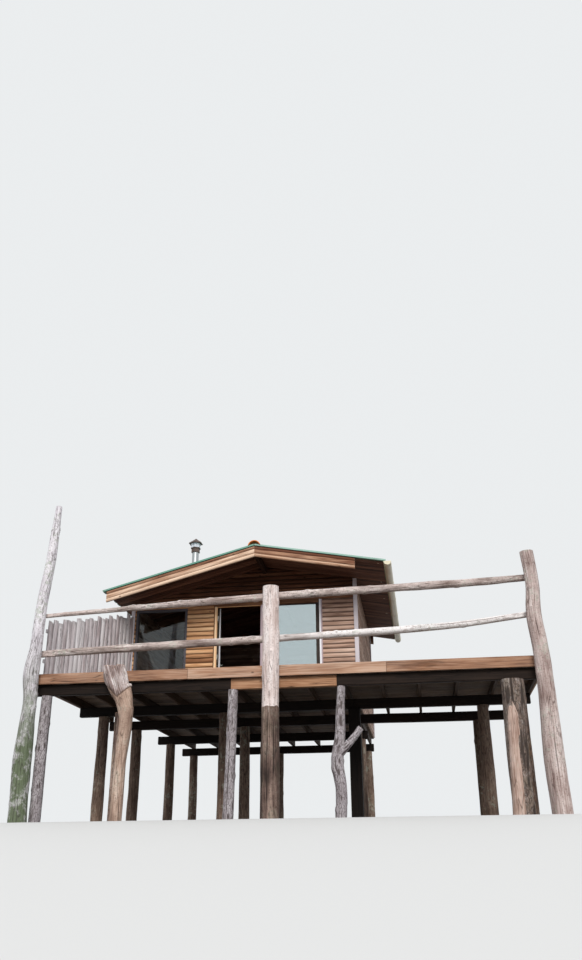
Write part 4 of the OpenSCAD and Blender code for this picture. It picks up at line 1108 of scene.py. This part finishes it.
def make_screen():
    """Waney slabs side by side that rise towards the cabin, nailed to two rails."""
    length = np.linalg.norm(SCREEN_END - SCREEN_START)
    way = (SCREEN_END - SCREEN_START) / length
    out = np.array([-way[1], way[0]])
    pitch = length / SLABS
    pile = Pile()
    for i in range(SLABS):
        height = SLAB_H + SLAB_RISE * i / (SLABS - 1) + SLAB_UNEVEN * math.sin(math.radians(i * 137))
        foot = SCREEN_START + way * (i * pitch + (pitch - SLAB_GAP) / 2)
        slab(pile, foot, way, out, pitch - SLAB_GAP, height, i)
    for level in SCREEN_RAIL_LEVELS:
        start = SCREEN_START + out * 0.033
        end = SCREEN_END + out * 0.033 - way * 0.004
        bar(pile, (*start, DECK + level), (*end, DECK + level), rectangle(0.038, 0.06), step=0.2, wave=0.002)
    pile.piece("slab_screen_boards", SLAB_WOOD, "slab_screen", "grey_slab")


# Cabin

UNDER_RIDGE = RIDGE_Z + BOARDS_UNDER - 0.006
HEAD_H = 0.062
DOOR_H = 2.02
DOOR_LEFT, DOOR_RIGHT = -1.725, -0.82
FRAME_LEFT, FRAME_RIGHT = -1.78, 0.41
MULLION_W = 0.05
JAMB_RIGHT = 0.075
MARGIN_W = 0.02
WINDOW_LEFT, WINDOW_RIGHT = -3.4, -2.33
WINDOW_W = 0.045
SILL_H, WINDOW_HEAD = 0.6, 2.02
FRAME_Y = WALL_FRONT - 0.01
FRAME_D = WALL_T + 0.01
FRAME_SILL = 0.03
STOP_W, STOP_Y, STOP_D = 0.012, 0.016, 0.03
# Painted shade on each cladding log: dark in the grooves at its bottom and top edges, spread further up from
# the bottom where the underside faces away from the light, and half strength on the back.
LOG_GROOVE_SHADE = [1.0, 0.6, 0.2, 0, 0, 0, 0, 0.15, 0.9] + [0.5] * 6
LOWEST_ROW = 0.008
CLAD_GAP = 0.0015
PANE_FRONT, PANE_BACK = WALL_FRONT + 0.043, WALL_FRONT + 0.049


def roof_under(x):
    """Height of the roof boards' underside at x."""
    return UNDER_RIDGE - (LEFT_FALL * (RIDGE_X - x) if x < RIDGE_X else RIGHT_FALL * (x - RIDGE_X))


def log_profile(z0, z1, base):
    """Section of one cladding log, its round face at the positive side, cut off between two heights."""
    core = WALL_T - LOG_BULGE
    top = base + LOG_PITCH
    points = []
    for s in range(9):
        out = LOG_BULGE * math.sin(math.pi * s / 8) ** 0.8 - (0.003 if s in (0, 8) else 0.0)
        points.append((out, base + LOG_PITCH * s / 8))
    points += [(-core * 0.5, top - 0.001), (-core + 0.003, top - 0.001), (-core, top - 0.004),
               (-core, base + 0.004), (-core + 0.003, base + 0.001), (-core * 0.5, base + 0.001)]
    return [(out, min(max(z, z0), z1)) for out, z in points]


def clad(pile, start, way, length, z0, z1, gable=False, roof_side=None, seam=None):
    """Rows of cladding logs along a wall, from its left end as seen from outside. At a gable each log ends
    under the roof boards. A side wall stops under the roof, whose slope its roof_side function gives."""
    start, way = np.array([*start, 0.0]), np.array([*way, 0.0])
    first = int((z0 - DECK) / LOG_PITCH + 1e-6)
    last = int(math.ceil((z1 - DECK) / LOG_PITCH - 1e-6))
    for row in range(first, last):
        profile = log_profile(z0, z1, DECK + row * LOG_PITCH)
        if roof_side:
            profile = [(out, min(z, roof_side(out))) for out, z in profile]
        heights = [z for _, z in profile]
        if max(heights) - min(heights) < LOWEST_ROW:
            continue
        lead, trail = np.zeros((2, len(profile)))
        if gable:
            profile = [(out, min(z, UNDER_RIDGE - 0.012)) for out, z in profile]
            west, east = sorted((start[0], start[0] + way[0] * length))
            under = UNDER_RIDGE - np.array(profile)[:, 1]
            lead = np.maximum(0.0, RIDGE_X - under / LEFT_FALL - west)
            trail = np.maximum(0.0, east - RIDGE_X - under / RIGHT_FALL)
            if way[0] < 0:
                lead, trail = trail, lead
        middle = np.mean(heights)
        line = start + [0, 0, middle]
        flat = [(out, z - middle) for out, z in profile]
        cuts = [0.0, length]
        free = length - lead.max() - trail.max()
        if seam and free > seam:
            cuts.insert(1, lead.max() + free * rng.uniform(0.3, 0.7))
        for a, b in pairwise(cuts):
            bar(pile, line + way * a, line + way * (b - CLAD_GAP), flat, step=0.4, wave=0.0012, chamfer=0.002,
                cut_start=lead if a == 0 else None, cut_end=trail if b == length else None, marks=LOG_GROOVE_SHADE)


def make_walls():
    """The log cladding of all four walls, row upon row round the whole cabin."""
    y = WALL_FRONT + LOG_BULGE
    head, sill, window_head = DECK + DOOR_H + HEAD_H, DECK + SILL_H, DECK + WINDOW_HEAD
    for side, finish, runs in (
        ("left", WARM_CLADDING, [(CABIN_LEFT, WINDOW_RIGHT, DECK, sill),
                                 (CABIN_LEFT, WINDOW_LEFT, sill, window_head),
                                 (CABIN_LEFT, WINDOW_RIGHT, window_head, head)]),
        ("middle", WARM_CLADDING, [(WINDOW_RIGHT, FRAME_LEFT, DECK, head)]),
        ("right", WORN_CLADDING, [(FRAME_RIGHT, CABIN_RIGHT, DECK, head)]),
    ):
        pile = Pile()
        for x0, x1, z0, z1 in runs:
            clad(pile, (x0, y), (1, 0), x1 - x0, z0, z1)
        pile.piece("front_cladding_" + side, finish, "front_wall_" + side, "log_cladding")
    front, back = WALL_FRONT + WALL_T, WALL_BACK - WALL_T
    left, right = CABIN_LEFT + LOG_BULGE, CABIN_RIGHT - LOG_BULGE
    width = CABIN_RIGHT - CABIN_LEFT
    for name, finish, node, start, way, length, foot, roof_side in (
        ("front_cladding_gable", GABLE_CLADDING_PAINTED_SHADE, "front_gable", (CABIN_LEFT, y), (1, 0), width, head, None),
        ("left_cladding", WORN_CLADDING, "left_wall", (left, back), (0, -1), back - front, DECK,
         lambda out: roof_under(left - out)),
        ("right_cladding", WORN_CLADDING, "right_wall", (right, front), (0, 1), back - front, DECK,
         lambda out: roof_under(right + out)),
        ("back_cladding", WORN_CLADDING, "back_wall", (CABIN_RIGHT, WALL_BACK - LOG_BULGE), (-1, 0), width,
         DECK, None),
    ):
        pile = Pile()
        clad(pile, start, way, length, foot, UNDER_RIDGE, gable=not roof_side, roof_side=roof_side, seam=3.0)
        pile.piece(name, finish, node, "log_cladding")


def make_corners():
    """Painted boards over the ends of the cladding, cut to the slope of the roof."""
    width, thick = 0.055, 0.022
    pile = Pile()
    for y_face, out in ((WALL_FRONT, -1), (WALL_BACK, 1)):
        outer = sorted((y_face, y_face + out * thick))
        inner = sorted((y_face, y_face - out * width))
        for x0, x1, (y0, y1) in (
            (CABIN_LEFT - thick, CABIN_LEFT + width, outer),
            (CABIN_RIGHT - width, CABIN_RIGHT + thick, outer),
            (CABIN_LEFT - thick, CABIN_LEFT, inner), (CABIN_RIGHT, CABIN_RIGHT + thick, inner),
        ):
            top = min(roof_under(x0), roof_under(x1)) - 0.002
            board(pile, (x0, y0, DECK), (x1, y1, top), 2, 0.003, wave=0.0006)
    pile.piece("corner_board_set", CORNER, "corner_boards", "corner_board")


def frame_bar(pile, low, high, axis, ease=0.004):
    """A planed member of a door or window frame."""
    board(pile, low, high, axis, ease, step=0.5, wave=0.0003, chamfer=0.0008)


def surround(pile, x, y, z, widths, inset=0.0, ease=0.003):
    """Two uprights with two crosspieces between them, of the widths left, right, bottom and top."""
    left, right, bottom, top = widths
    frame_bar(pile, (x[0], y[0], z[0]), (x[0] + left, y[1], z[1]), 2, ease)
    frame_bar(pile, (x[1] - right, y[0], z[0]), (x[1], y[1], z[1]), 2, ease)
    for z0, z1 in ((z[0], z[0] + bottom), (z[1] - top, z[1])):
        frame_bar(pile, (x[0] + left, y[0] + inset, z0), (x[1] - right, y[1] - inset, z1), 0, ease)


def pane(pile, low, high):
    """A sheet of glass with ground edges."""
    board(pile, low, high, 2, 0.001, tone=0.5, step=9, wave=0, chamfer=0.001)


def make_window():
    """The left window: a dark frame with a beaded sash; its one pane is made with the glass."""
    pile = Pile()
    x, z = (WINDOW_LEFT, WINDOW_RIGHT), (DECK + SILL_H, DECK + WINDOW_HEAD)
    surround(pile, x, (WALL_FRONT + 0.005, WALL_FRONT + 0.085), z, [WINDOW_W] * 4, 0.001, 0.004)
    bead = 0.012
    for y in (WALL_FRONT + 0.026, WALL_FRONT + 0.0525):
        surround(pile, (x[0] + WINDOW_W, x[1] - WINDOW_W), (y, y + bead), (z[0] + WINDOW_W, z[1] - WINDOW_W),
                 [bead] * 4)
    pile.piece("window_frame_members", GREY_FRAME, "window_frame", "dark_frame")


def make_glass():
    """The panes of the left window and beside the door."""
    inset = WINDOW_W + 0.001
    pile = Pile()
    pane(pile, (WINDOW_LEFT + inset, PANE_FRONT, DECK + SILL_H + inset),
         (WINDOW_RIGHT - inset, PANE_BACK, DECK + WINDOW_HEAD - inset))
    pile.piece("window_pane", GLASS, "fixed_glass", "glass")
    pile = Pile()
    pane(pile, (DOOR_RIGHT + MULLION_W + 0.001, PANE_FRONT, DECK + FRAME_SILL + 0.001),
         (FRAME_RIGHT - JAMB_RIGHT - 0.001, PANE_BACK, DECK + DOOR_H - 0.001))
    pile.piece("front_pane", BRIGHT_GLASS, "fixed_glass", "glass")


# Door

HINGE = np.array([DOOR_LEFT + 0.003, FRAME_Y + FRAME_D + 0.011, DECK + FRAME_SILL + 0.006])
LEAF_W, LEAF_T, LEAF_H = 0.893, 0.045, 1.978
STILE_W = 0.09
HINGE_LEVELS = (0.16, LEAF_H / 2 - 0.05, LEAF_H - 0.26)
KNUCKLE_H, KNUCKLE_R, RUN_GAP = 0.05, 0.008, 0.0004
DOOR_OPEN = math.radians(102)
PLATE = {"wave": 0, "chamfer": 0.0006}


def make_door_frame():
    """Pine jamb, a pine head drawn dark brown as painted shade, stops and beads, a mullion and right jamb
    whose white paint is drawn mauve-grey as painted shade, and the frame's hinge halves.
    """
    y0, y1 = FRAME_Y, FRAME_Y + FRAME_D
    sill, under_head, top = DECK + FRAME_SILL, DECK + DOOR_H, DECK + DOOR_H + HEAD_H
    pane_left, pane_right = DOOR_RIGHT + MULLION_W, FRAME_RIGHT - JAMB_RIGHT
    stop_y = FRAME_Y + STOP_Y
    stop_z = under_head - STOP_W
    white, jamb = pane_right + 0.014, pane_right + 0.048
    members = [
        ("pine", PINE, "pine_frame", [
            ((FRAME_LEFT + MARGIN_W, y0, DECK), (DOOR_LEFT, y1, under_head), 2, 0.004),
            ((DOOR_LEFT, y0, DECK), (pane_right, y1, sill), 0, 0.004),
            ((DOOR_LEFT, stop_y, sill), (DOOR_LEFT + STOP_W, stop_y + STOP_D, stop_z), 2, 0.003),
            ((DOOR_LEFT, stop_y, stop_z), (DOOR_RIGHT, stop_y + STOP_D, under_head), 0, 0.003)]),
        ("head", HEAD_WOOD_PAINTED_SHADE, "pine_frame", [
            ((FRAME_LEFT, y0, under_head), (pane_right, y1, top), 0, 0.004),
            ((FRAME_LEFT, y0, DECK), (FRAME_LEFT + MARGIN_W, y1, under_head), 2, 0.004)]),
        ("mauve", MAUVE_PAINTED_SHADE_TRIM, "white_door", [
            ((DOOR_RIGHT, y0, sill), (pane_left, y1, under_head), 2, 0.004),
            ((DOOR_RIGHT - STOP_W, stop_y, sill), (DOOR_RIGHT, stop_y + STOP_D, stop_z), 2, 0.003),
            ((jamb, y0, DECK), (FRAME_RIGHT, y1, top), 2, 0.004)]),
        ("white", WHITE_PAINT, "white_door", [((white, y0, DECK), (jamb, y1, top), 2, 0.004)]),
    ]
    for name, finish, slot, rows in members:
        pile = Pile()
        for row in rows:
            frame_bar(pile, *row)
        pile.piece("door_frame_" + name, finish, "door_frame", slot)
    pile = Pile()
    bead, stile, deep = 0.022, 0.058, 0.014
    for y in (WALL_FRONT + 0.029, WALL_FRONT + 0.0495):
        surround(pile, (pane_left, pane_right), (y, y + deep), (sill, under_head), (bead, stile, bead, bead))
    frame_bar(pile, (pane_right, y0, DECK), (white, y1, top), 2)
    pile.piece("door_frame_beads", DARK_FRAME, "door_frame", "dark_frame")
    pile = Pile()
    for level in HINGE_LEVELS:
        base = HINGE + [0, 0, level]
        lathe(pile, base, [(0.0065, 0), (KNUCKLE_R, 0.0015), (KNUCKLE_R, KNUCKLE_H - 0.001),
                           (0.0072, KNUCKLE_H)],
              20)
        pin_top = 2 * KNUCKLE_H + 0.001
        lathe(pile, base, [(0.0038, 0.001), (0.0038, pin_top), (0.003, pin_top + 0.0005)], 16)
        plate = base + [-0.018, -0.0095, KNUCKLE_H / 2]
        board(pile, plate - [0.018, 0.0012, 0.025], plate + [0.018, 0.0012, 0.0245], 0, 0.0006, **PLATE)
        for x, z in ((-0.024, 0.012), (-0.012, 0.025), (-0.024, 0.038)):
            lathe(pile, base + [x, -0.0085, z], [(0.0034, 0), (0.0028, 0.0008), (0.0009, 0.0002)], 12,
                  (0, 1, 0))
    pile.piece("door_frame_hinges", HANDLE, "door_frame", "handle_metal")


def door_piece(pile, name, finish, node, slot):
    """Turns a pile drawn for the closed door, from its hinge, to the open door, and rides it on the door."""
    turn = np.array(Matrix.Rotation(DOOR_OPEN, 3, "Z"))
    for rows in pile.verts:
        rows[:] = rows @ turn.T + HINGE
    pile.piece(name, finish, node, slot, "door")


def make_door():
    """The white leaf with its stiles, rails, beads and hinge halves, its pane and its lever handles."""
    x0, x1 = 0.003, 0.003 + LEAF_W
    y0, y1 = -0.011 - LEAF_T, -0.011
    bottom, bead = STILE_W + 0.06, 0.014
    inner_x, inner_z = (x0 + STILE_W, x1 - STILE_W), (bottom, LEAF_H - STILE_W)
    pile = Pile()
    surround(pile, (x0, x1), (y0, y1), (0, LEAF_H), (STILE_W, STILE_W, bottom, STILE_W), 0.0005)
    for y in (y0 + 0.004, y1 - 0.004 - bead):
        surround(pile, inner_x, (y, y + bead), inner_z, [bead] * 4, 0.0, 0.004)
    door_piece(pile, "door_leaf_frame", WHITE_PAINT, "door_leaf", "white_door")
    pile = Pile()
    # A thin dark strip over part of the leaf's hinge-side edge, leaving a narrow white band of the edge
    # beside it.
    frame_bar(pile, (x0 - 0.0015, y0 + 0.018, 0.001), (x0 + 0.0005, y1 - 0.001, LEAF_H - 0.001), 2, 0.0006)
    door_piece(pile, "door_leaf_dark_edge", DARK_FRAME, "door_leaf", "dark_frame")
    pile = Pile()
    for level in HINGE_LEVELS:
        base = level + KNUCKLE_H + RUN_GAP
        lathe(pile, (0, 0, base), [(0.0072, 0), (KNUCKLE_R, 0.001), (KNUCKLE_R, KNUCKLE_H - 0.002),
                                   (0.0065, KNUCKLE_H - 0.0005)], 20)
        board(pile, (0.002, -0.0105, base + 0.0005), (0.038, -0.0082, base + KNUCKLE_H - 0.001), 0, 0.0006,
              **PLATE)
    door_piece(pile, "door_leaf_hinges", HANDLE, "door_leaf", "handle_metal")
    pile = Pile()
    middle = (y0 + y1) / 2
    pane(pile, (inner_x[0] + 0.001, middle - 0.003, bottom + 0.001),
         (inner_x[1] - 0.001, middle + 0.003, inner_z[1] - 0.001))
    door_piece(pile, "door_pane", GLASS, "door_glass", "glass")
    pile = Pile()
    grip_x, grip_z = LEAF_W - 0.042, 1.0
    rose = [(0.022, 0), (0.022, 0.004), (0.0195, 0.0075), (0.010, 0.008), (0.0085, 0.011), (0.0075, 0.03),
            (0.0078, 0.0455)]
    lever = [(0.006, 0.0), (0.0078, 0.002), (0.008, 0.02), (0.0072, 0.06), (0.0074, 0.1), (0.0078, 0.112),
             (0.006, 0.1175)]
    for face, out in ((y1, 1), (y0, -1)):
        lathe(pile, (grip_x, face, grip_z), rose, 32, (0, out, 0))
        lathe(pile, (grip_x + 0.008, face + out * 0.042, grip_z), lever, 24, (-1, 0, 0))
    door_piece(pile, "door_levers", HANDLE, "door_handle", "handle_metal")


# Roof

RIB_PITCH = 0.207
SHEET_T = 0.003
SHEET_UP = 0.0043
LIP_FOOT = -0.003
BARGE_STRIPS = ((0.063, 0.6), (0.088, 0.25), (0.058, -0.4))
# Painted shade in the grooves at the bottom and top of each barge strip, and half strength on the back.
BARGE_GROOVE_SHADE = [0.55, 0.1, 0, 0, 0, 0, 0, 0, 0.5] + [0.5] * 4
BARGE_H = 0.216
BARGE_LEFT, BARGE_RIGHT = -3.63, 1.17
SOFFIT_ROWS = 50
TILES, TILE_LAP, TILE_SINK = 14, 0.04, 0.06
TILES_FRONT, TILES_BACK = 2.457, 8.543


def plumb_bar(pile, fall, y, offset, reach, profile, **options):
    """A bar down a slope from the ridge to the plumb line x = reach, its line at a plumb offset from the
    ridge's top. Its ends are cut plumb."""
    start = (RIDGE_X, y, RIDGE_Z + offset)
    end = (reach, y, RIDGE_Z + offset - fall * abs(reach - RIDGE_X))
    rise = np.array([up for _, up in profile])
    bar(pile, start, end, profile, cut_start=-rise * fall, cut_end=rise * fall, **options)


def make_roof_boards():
    """Boards side by side along each slope, seen from below as the soffit, and the beam under the ridge."""
    pile = Pile()
    y0, y1 = ROOF_FRONT + BARGE_T, ROOF_BACK - BARGE_T
    pitch = (y1 - y0) / SOFFIT_ROWS
    for fall, reach in ((LEFT_FALL, ROOF_LEFT), (RIGHT_FALL, ROOF_RIGHT)):
        thick = (BOARDS_TOP - BOARDS_UNDER) * math.cos(math.atan(fall))
        profile = rectangle(pitch - 0.003, thick - 0.001, 0.006)
        for row in range(SOFFIT_ROWS):
            plumb_bar(pile, fall, y0 + (row + 0.5) * pitch, (BOARDS_TOP + BOARDS_UNDER) / 2, reach, profile,
                      step=0.5, wave=0.001, chamfer=0.001)
    pile.piece("soffit_boards", SOFFIT, "roof_boards", "soffit")
    pile = Pile()
    half, beam_h = 0.035, 0.15
    top = roof_under(RIDGE_X - half) + 0.005
    bottom = roof_under(RIDGE_X) + 0.006 - beam_h
    board(pile, (RIDGE_X - half, y0 + 0.001, bottom), (RIDGE_X + half, y1 - 0.001, top), 1, 0.006, wave=0.002)
    pile.piece("ridge_beam_log", RIDGE_WOOD, "ridge_beam", "old_timber")


def sheet_section(count, y0):
    """Top line of the ribbed sheets across the slope, with the lip turned down at both verges: half ribs at
    the ends, and pans with two shallow folds between ribs with round corners."""
    half = [(0.0, RIB_H), (0.015, RIB_H), (0.0205, 0.0268), (0.024, 0.023), (0.036, 0.005), (0.0395, 0.0012),
            (0.046, 0.0), (0.076, 0.0), (0.080, 0.0022), (0.088, 0.0022), (0.092, 0.0)]
    pan = half + [(RIB_PITCH - a, b) for a, b in half[:0:-1]]
    points = [(y0 + i * RIB_PITCH + a, b) for i in range(count) for a, b in pan]
    y1 = y0 + count * RIB_PITCH
    return np.array([(y0, LIP_FOOT), *points, (y1, RIB_H), (y1, LIP_FOOT)])


def make_sheets():
    """Ribbed steel sheets down both slopes, with side laps, a little waviness and rows of screws."""
    count = round((ROOF_BACK - ROOF_FRONT + 0.04) / RIB_PITCH)
    y0 = ROOF_FRONT - 0.02
    pile, screws = Pile(), Pile()
    across, heights = sheet_section(count, y0).T
    inner = np.clip(across, y0 + SHEET_T, y0 + count * RIB_PITCH - SHEET_T)
    ys = np.concatenate([across, inner[::-1]])
    sheet_of = np.floor((np.concatenate([across, across[::-1]]) - y0) / (5 * RIB_PITCH))
    lap = (sheet_of[:len(across)] % 2) * 0.0012
    for side, fall, reach in ((-1, LEFT_FALL, ROOF_LEFT - 0.04), (1, RIGHT_FALL, ROOF_RIGHT + 0.045)):
        tilt = math.atan(fall)
        run = abs(reach - RIDGE_X) / math.cos(tilt)
        along = np.array([side * math.cos(tilt), 0, -math.sin(tilt)])
        normal = np.array([side * math.sin(tilt), 0, math.cos(tilt)])
        base = np.array([RIDGE_X, 0, RIDGE_Z + BOARDS_TOP])
        rings, grain = [], []
        for s in np.linspace(0.001, run, 15):
            line = np.stack([np.full(len(across), s), across, across * 0], -1)
            upper = heights + SHEET_UP + lap + 0.0007 * noise(line, (1.1, 5, 1), 12 + side)
            lower = upper - SHEET_T
            upper[[0, -1]] = lower[[0, -1]] = SHEET_UP + LIP_FOOT
            hs = np.concatenate([upper, lower[::-1]])
            rings.append(base + along * s + np.stack([ys * 0, ys, ys * 0], -1) + normal * hs[:, None])
            grain.append(np.stack([np.full(len(ys), s), ys, hs], -1))
        pile.sweep(np.array(rings), np.array(grain), 0.5 + 0.5 * np.sin(sheet_of * 2.4 + side))
        step = (run - 0.5) / 3
        for s, i in product((0.3, 0.3 + step, 0.3 + 2 * step, run - 0.2), range(1, count)):
            spot = base + along * s + [0, y0 + i * RIB_PITCH, 0] + normal * (RIB_H + 0.0045)
            lathe(screws, spot, [(0.0095, -0.001), (0.0095, 0.0008), (0.0075, 0.0018), (0.0046, 0.0019),
                                 (0.0046, 0.0050)], 6, normal, rng.random())
    pile.piece("ribbed_sheets", SHEET, "roof_sheets", "roof_sheet", sharp=50)
    screws.piece("sheet_screws", SCREW, "roof_sheets", "handle_metal")


def make_barges():
    """Barge boards of three log-profile strips, mitred at the ridge, on both gables."""
    pile = Pile()
    bulge = 0.014
    # The left barge's tone is raised as painted light, for light falling from the left.
    slopes = ((-1, LEFT_FALL, BARGE_LEFT, 0.6), (1, RIGHT_FALL, BARGE_RIGHT, 0))
    for (y, face), (side, fall, reach, painted_light_tone) in product(((ROOF_FRONT, -1), (ROOF_BACK, 1)), slopes):
        out = -side * face
        back = -out * BARGE_T / 2
        foot = 0.0
        for height, tone in BARGE_STRIPS:
            shares = [s / 8 for s in range(9)]
            profile = [(out * (BARGE_T / 2 - bulge + bulge * math.sin(math.pi * s) ** 0.75),
                        foot + height * s)
                       for s in shares]
            profile += [(back * 0.98, foot + height - 0.001), (back, foot + height - 0.003),
                        (back, foot + 0.003), (back * 0.98, foot + 0.001)]
            plumb_bar(pile, fall, y - face * BARGE_T / 2, BOARDS_TOP - BARGE_H, reach, profile, wave=0.0015,
                      chamfer=0.002, tone=tone + painted_light_tone, marks=BARGE_GROOVE_SHADE)
            foot += height
    pile.piece("barge_strips", BARGE, "barge_boards", "log_cladding")


def make_ridge():
    """Half-round clay tiles, each with its thick rim over the next one's narrow end."""
    pile = Pile()
    pitch = (TILES_BACK - TILES_FRONT - TILE_LAP) / TILES
    length = pitch + TILE_LAP
    centre_z = RIDGE_Z - TILE_SINK
    stations = [0, 0.004, 0.03, 0.036, 0.12, 0.25, length - 0.01, length]
    radii = [0.1235, 0.125, 0.125, 0.1205, 0.1195, 0.118, 0.1155, 0.1145]
    thick = [0.013, 0.016, 0.016, 0.012, 0.012, 0.012, 0.011, 0.010]
    for i in range(TILES):
        tilt = rng.uniform(-0.004, 0.004)
        tone = rng.random()
        rings, grain = [], []
        for s, radius, wall in zip(stations, radii, thick):
            wobble = 0.001 * math.sin(s * 17 + i)
            left, right = (math.asin(min(1, (RIDGE_Z + 0.004 - fall * radius - centre_z) / radius))
                           for fall in (LEFT_FALL, RIGHT_FALL))
            arc = np.linspace(right, math.pi - left, 19)
            outer = np.stack([np.cos(arc), np.sin(arc)], -1)
            loop = np.concatenate([outer * radius, outer[::-1] * (radius - wall)])
            front = TILES_FRONT + i * pitch + s
            rings.append([(RIDGE_X + x + tilt * s, front, centre_z + z + wobble) for x, z in loop])
            grain.append([(s, x, z) for x, z in loop])
        pile.sweep(np.array(rings), np.array(grain) + chance_place(), tone)
    pile.piece("ridge_tile_row", CLAY, "ridge_tiles", "terracotta", sharp=40)


def make_gutter():
    """A half-round gutter with a rolled rim, end caps and brackets."""
    outer, wall, bead = 0.071, 0.002, 0.006
    centre_x = ROOF_RIGHT + 0.006 + outer
    rim_z = RIDGE_Z - RIGHT_FALL * (ROOF_RIGHT - RIDGE_X) + BOARDS_TOP - 0.016
    y0, y1 = ROOF_FRONT - 0.03, ROOF_BACK + 0.03
    half_turn = np.linspace(math.pi, 2 * math.pi, 25)

    def arc(radius, angles=half_turn):
        return [(math.cos(a) * radius, math.sin(a) * radius) for a in angles]
    curl = [(outer - bead + x - 0.0002, -bead * 0.9 + z - 0.0003)
            for x, z in arc(bead, np.linspace(0, 1.6 * math.pi, 9))]
    pile = Pile()
    extrude(pile, arc(outer) + curl + arc(outer - wall)[::-1][2:], np.linspace(y0 + 0.001, y1 - 0.001, 26),
            (centre_x, 0, rim_z - 0.0006), 0.5)
    for y, way in ((y0, 1), (y1, -1)):
        extrude(pile, arc(outer - 0.0005), [y, y + way * 0.004], (centre_x, 0, rim_z), 0.6)
    pile.piece("gutter_run", CREAM, "gutter", "gutter_cream")
    pile = Pile()
    for i in range(6):
        y = y0 + 0.12 + i * (y1 - y0 - 0.27) / 5
        extrude(pile, arc(outer + 0.006) + arc(outer + 0.0005)[::-1], (0, 0.001, 0.029, 0.03),
                (centre_x, y, rim_z), 0.4, chance_place())
        strap = np.array([ROOF_RIGHT - 0.05, y + 0.015, rim_z + 0.004])
        board(pile, strap - [0.06, 0.014, 0.0], strap + [0.05, 0.014, 0.004], 0, 0.001, wave=0)
    pile.piece("gutter_brackets", CREAM, "gutter", "gutter_cream")


# Flue

FLUE_X, FLUE_Y = -2.56, 5.0
FLUE_R = 0.075
FLUE_SEAMS = (4.95, 5.42)
COLLAR_Z = 4.80
CONE_R, CONE_H = 0.21, 0.26
COWL_Z = 5.905


def make_flue():
    """A seamed pipe with a cone of flashing and a storm collar."""
    roof_z = RIDGE_Z - LEFT_FALL * (RIDGE_X - FLUE_X)
    pile = Pile()
    outline = [(FLUE_R - 0.003, roof_z - 0.14)]
    for seam in FLUE_SEAMS:
        outline += [(FLUE_R - 0.002, seam - 0.02), (FLUE_R, seam - 0.014), (FLUE_R, seam + 0.014),
                    (FLUE_R - 0.002, seam + 0.02)]
    outline += [(FLUE_R - 0.002, COWL_Z - 0.003), (FLUE_R - 0.007, COWL_Z - 0.001),
                (FLUE_R - 0.007, roof_z - 0.13)]
    lathe(pile, (FLUE_X, FLUE_Y, 0), outline, 48)
    lathe(pile, (FLUE_X, FLUE_Y, 0), [(FLUE_R, COLLAR_Z), (0.118, 4.778), (0.122, 4.772), (0.118, 4.776),
                                      (FLUE_R - 0.001, 4.797)], 48)
    pile.piece("flue_pipe_run", STEEL, "flue_pipe", "flue_metal")
    pile = Pile()
    angle = np.linspace(0, 2 * math.pi, 48, endpoint=False)
    rings, grain = [], []
    for share in (1.0, 0.97, 0.7, 0.35, 0.0):
        radius = FLUE_R + 0.001 + (CONE_R - FLUE_R) * share
        px, py = np.cos(angle) * radius, np.sin(angle) * radius
        z = np.maximum(COLLAR_Z - CONE_H * share, roof_z + LEFT_FALL * px + 0.002)
        rings.append(np.stack([FLUE_X + px, FLUE_Y + py, z], -1))
        grain.append(np.stack([px * 0 + share, px, py], -1))
    under = [ring - [0, 0, 0.0015] for ring in rings[::-1]]
    pile.sweep(np.array(rings + under), np.array(grain + grain[::-1]), 0.4)
    pile.piece("flue_flashing", STEEL, "flue_pipe", "flue_metal")


def make_cowl():
    """A six-sided cowl: a foot, a lantern with bars at its corners and a pointed cap."""
    at = (FLUE_X, FLUE_Y, COWL_Z)
    foot, body, cap = Pile(), Pile(), Pile()
    for pile, outline in (
        (foot, [(0.068, 0.0), (0.1, 0.0), (0.1, 0.012), (0.096, 0.014), (0.096, 0.085), (0.1, 0.088),
                (0.1, 0.094), (0.09, 0.096), (0.088, 0.014), (0.068, 0.01)]),
        (foot, [(0.092, 0.09), (0.115, 0.09), (0.115, 0.104), (0.108, 0.108), (0.106, 0.112),
                (0.092, 0.112)]),
        (body, [(0.092, 0.186), (0.106, 0.188), (0.115, 0.192), (0.115, 0.208), (0.092, 0.208)]),
        (body, [(0.09, 0.1), (0.1035, 0.1), (0.1035, 0.2), (0.09, 0.2)]),
    ):
        lathe(pile, at, outline, 6)
    for k in range(6):
        a = k * math.pi / 3
        corner = np.array(at) + [math.cos(a) * 0.104, math.sin(a) * 0.104, 0]
        bar(body, corner + [0, 0, 0.1], corner + [0, 0, 0.2], rectangle(0.01, 0.01, 0.003), (0, 1, 0),
            step=0.1, wave=0, chamfer=0.001)
    body.piece("cowl_lantern_body", LANTERN, "flue_cowl", "flue_metal", sharp=25)
    foot.piece("cowl_foot", COWL, "flue_cowl", "flue_metal", sharp=25)
    lathe(cap, at, [(0.12, 0.206), (0.165, 0.208), (0.165, 0.214), (0.158, 0.222), (0.088, 0.272),
                    (0.03, 0.316), (0.024, 0.318), (0.024, 0.326), (0.014, 0.33), (0.001, 0.33)], 6)
    cap.piece("cowl_cap", COWL, "flue_cowl", "flue_metal", sharp=25)


for make in (make_camera, make_floor, make_light, make_central_post, make_trunks, make_bark_posts,
             make_flared_post, make_back_posts, make_rails, make_beams, make_deck, make_screen, make_walls,
             make_corners, make_window, make_glass, make_door_frame, make_door, make_roof_boards, make_sheets,
             make_barges, make_ridge, make_gutter, make_flue, make_cowl):
    make()
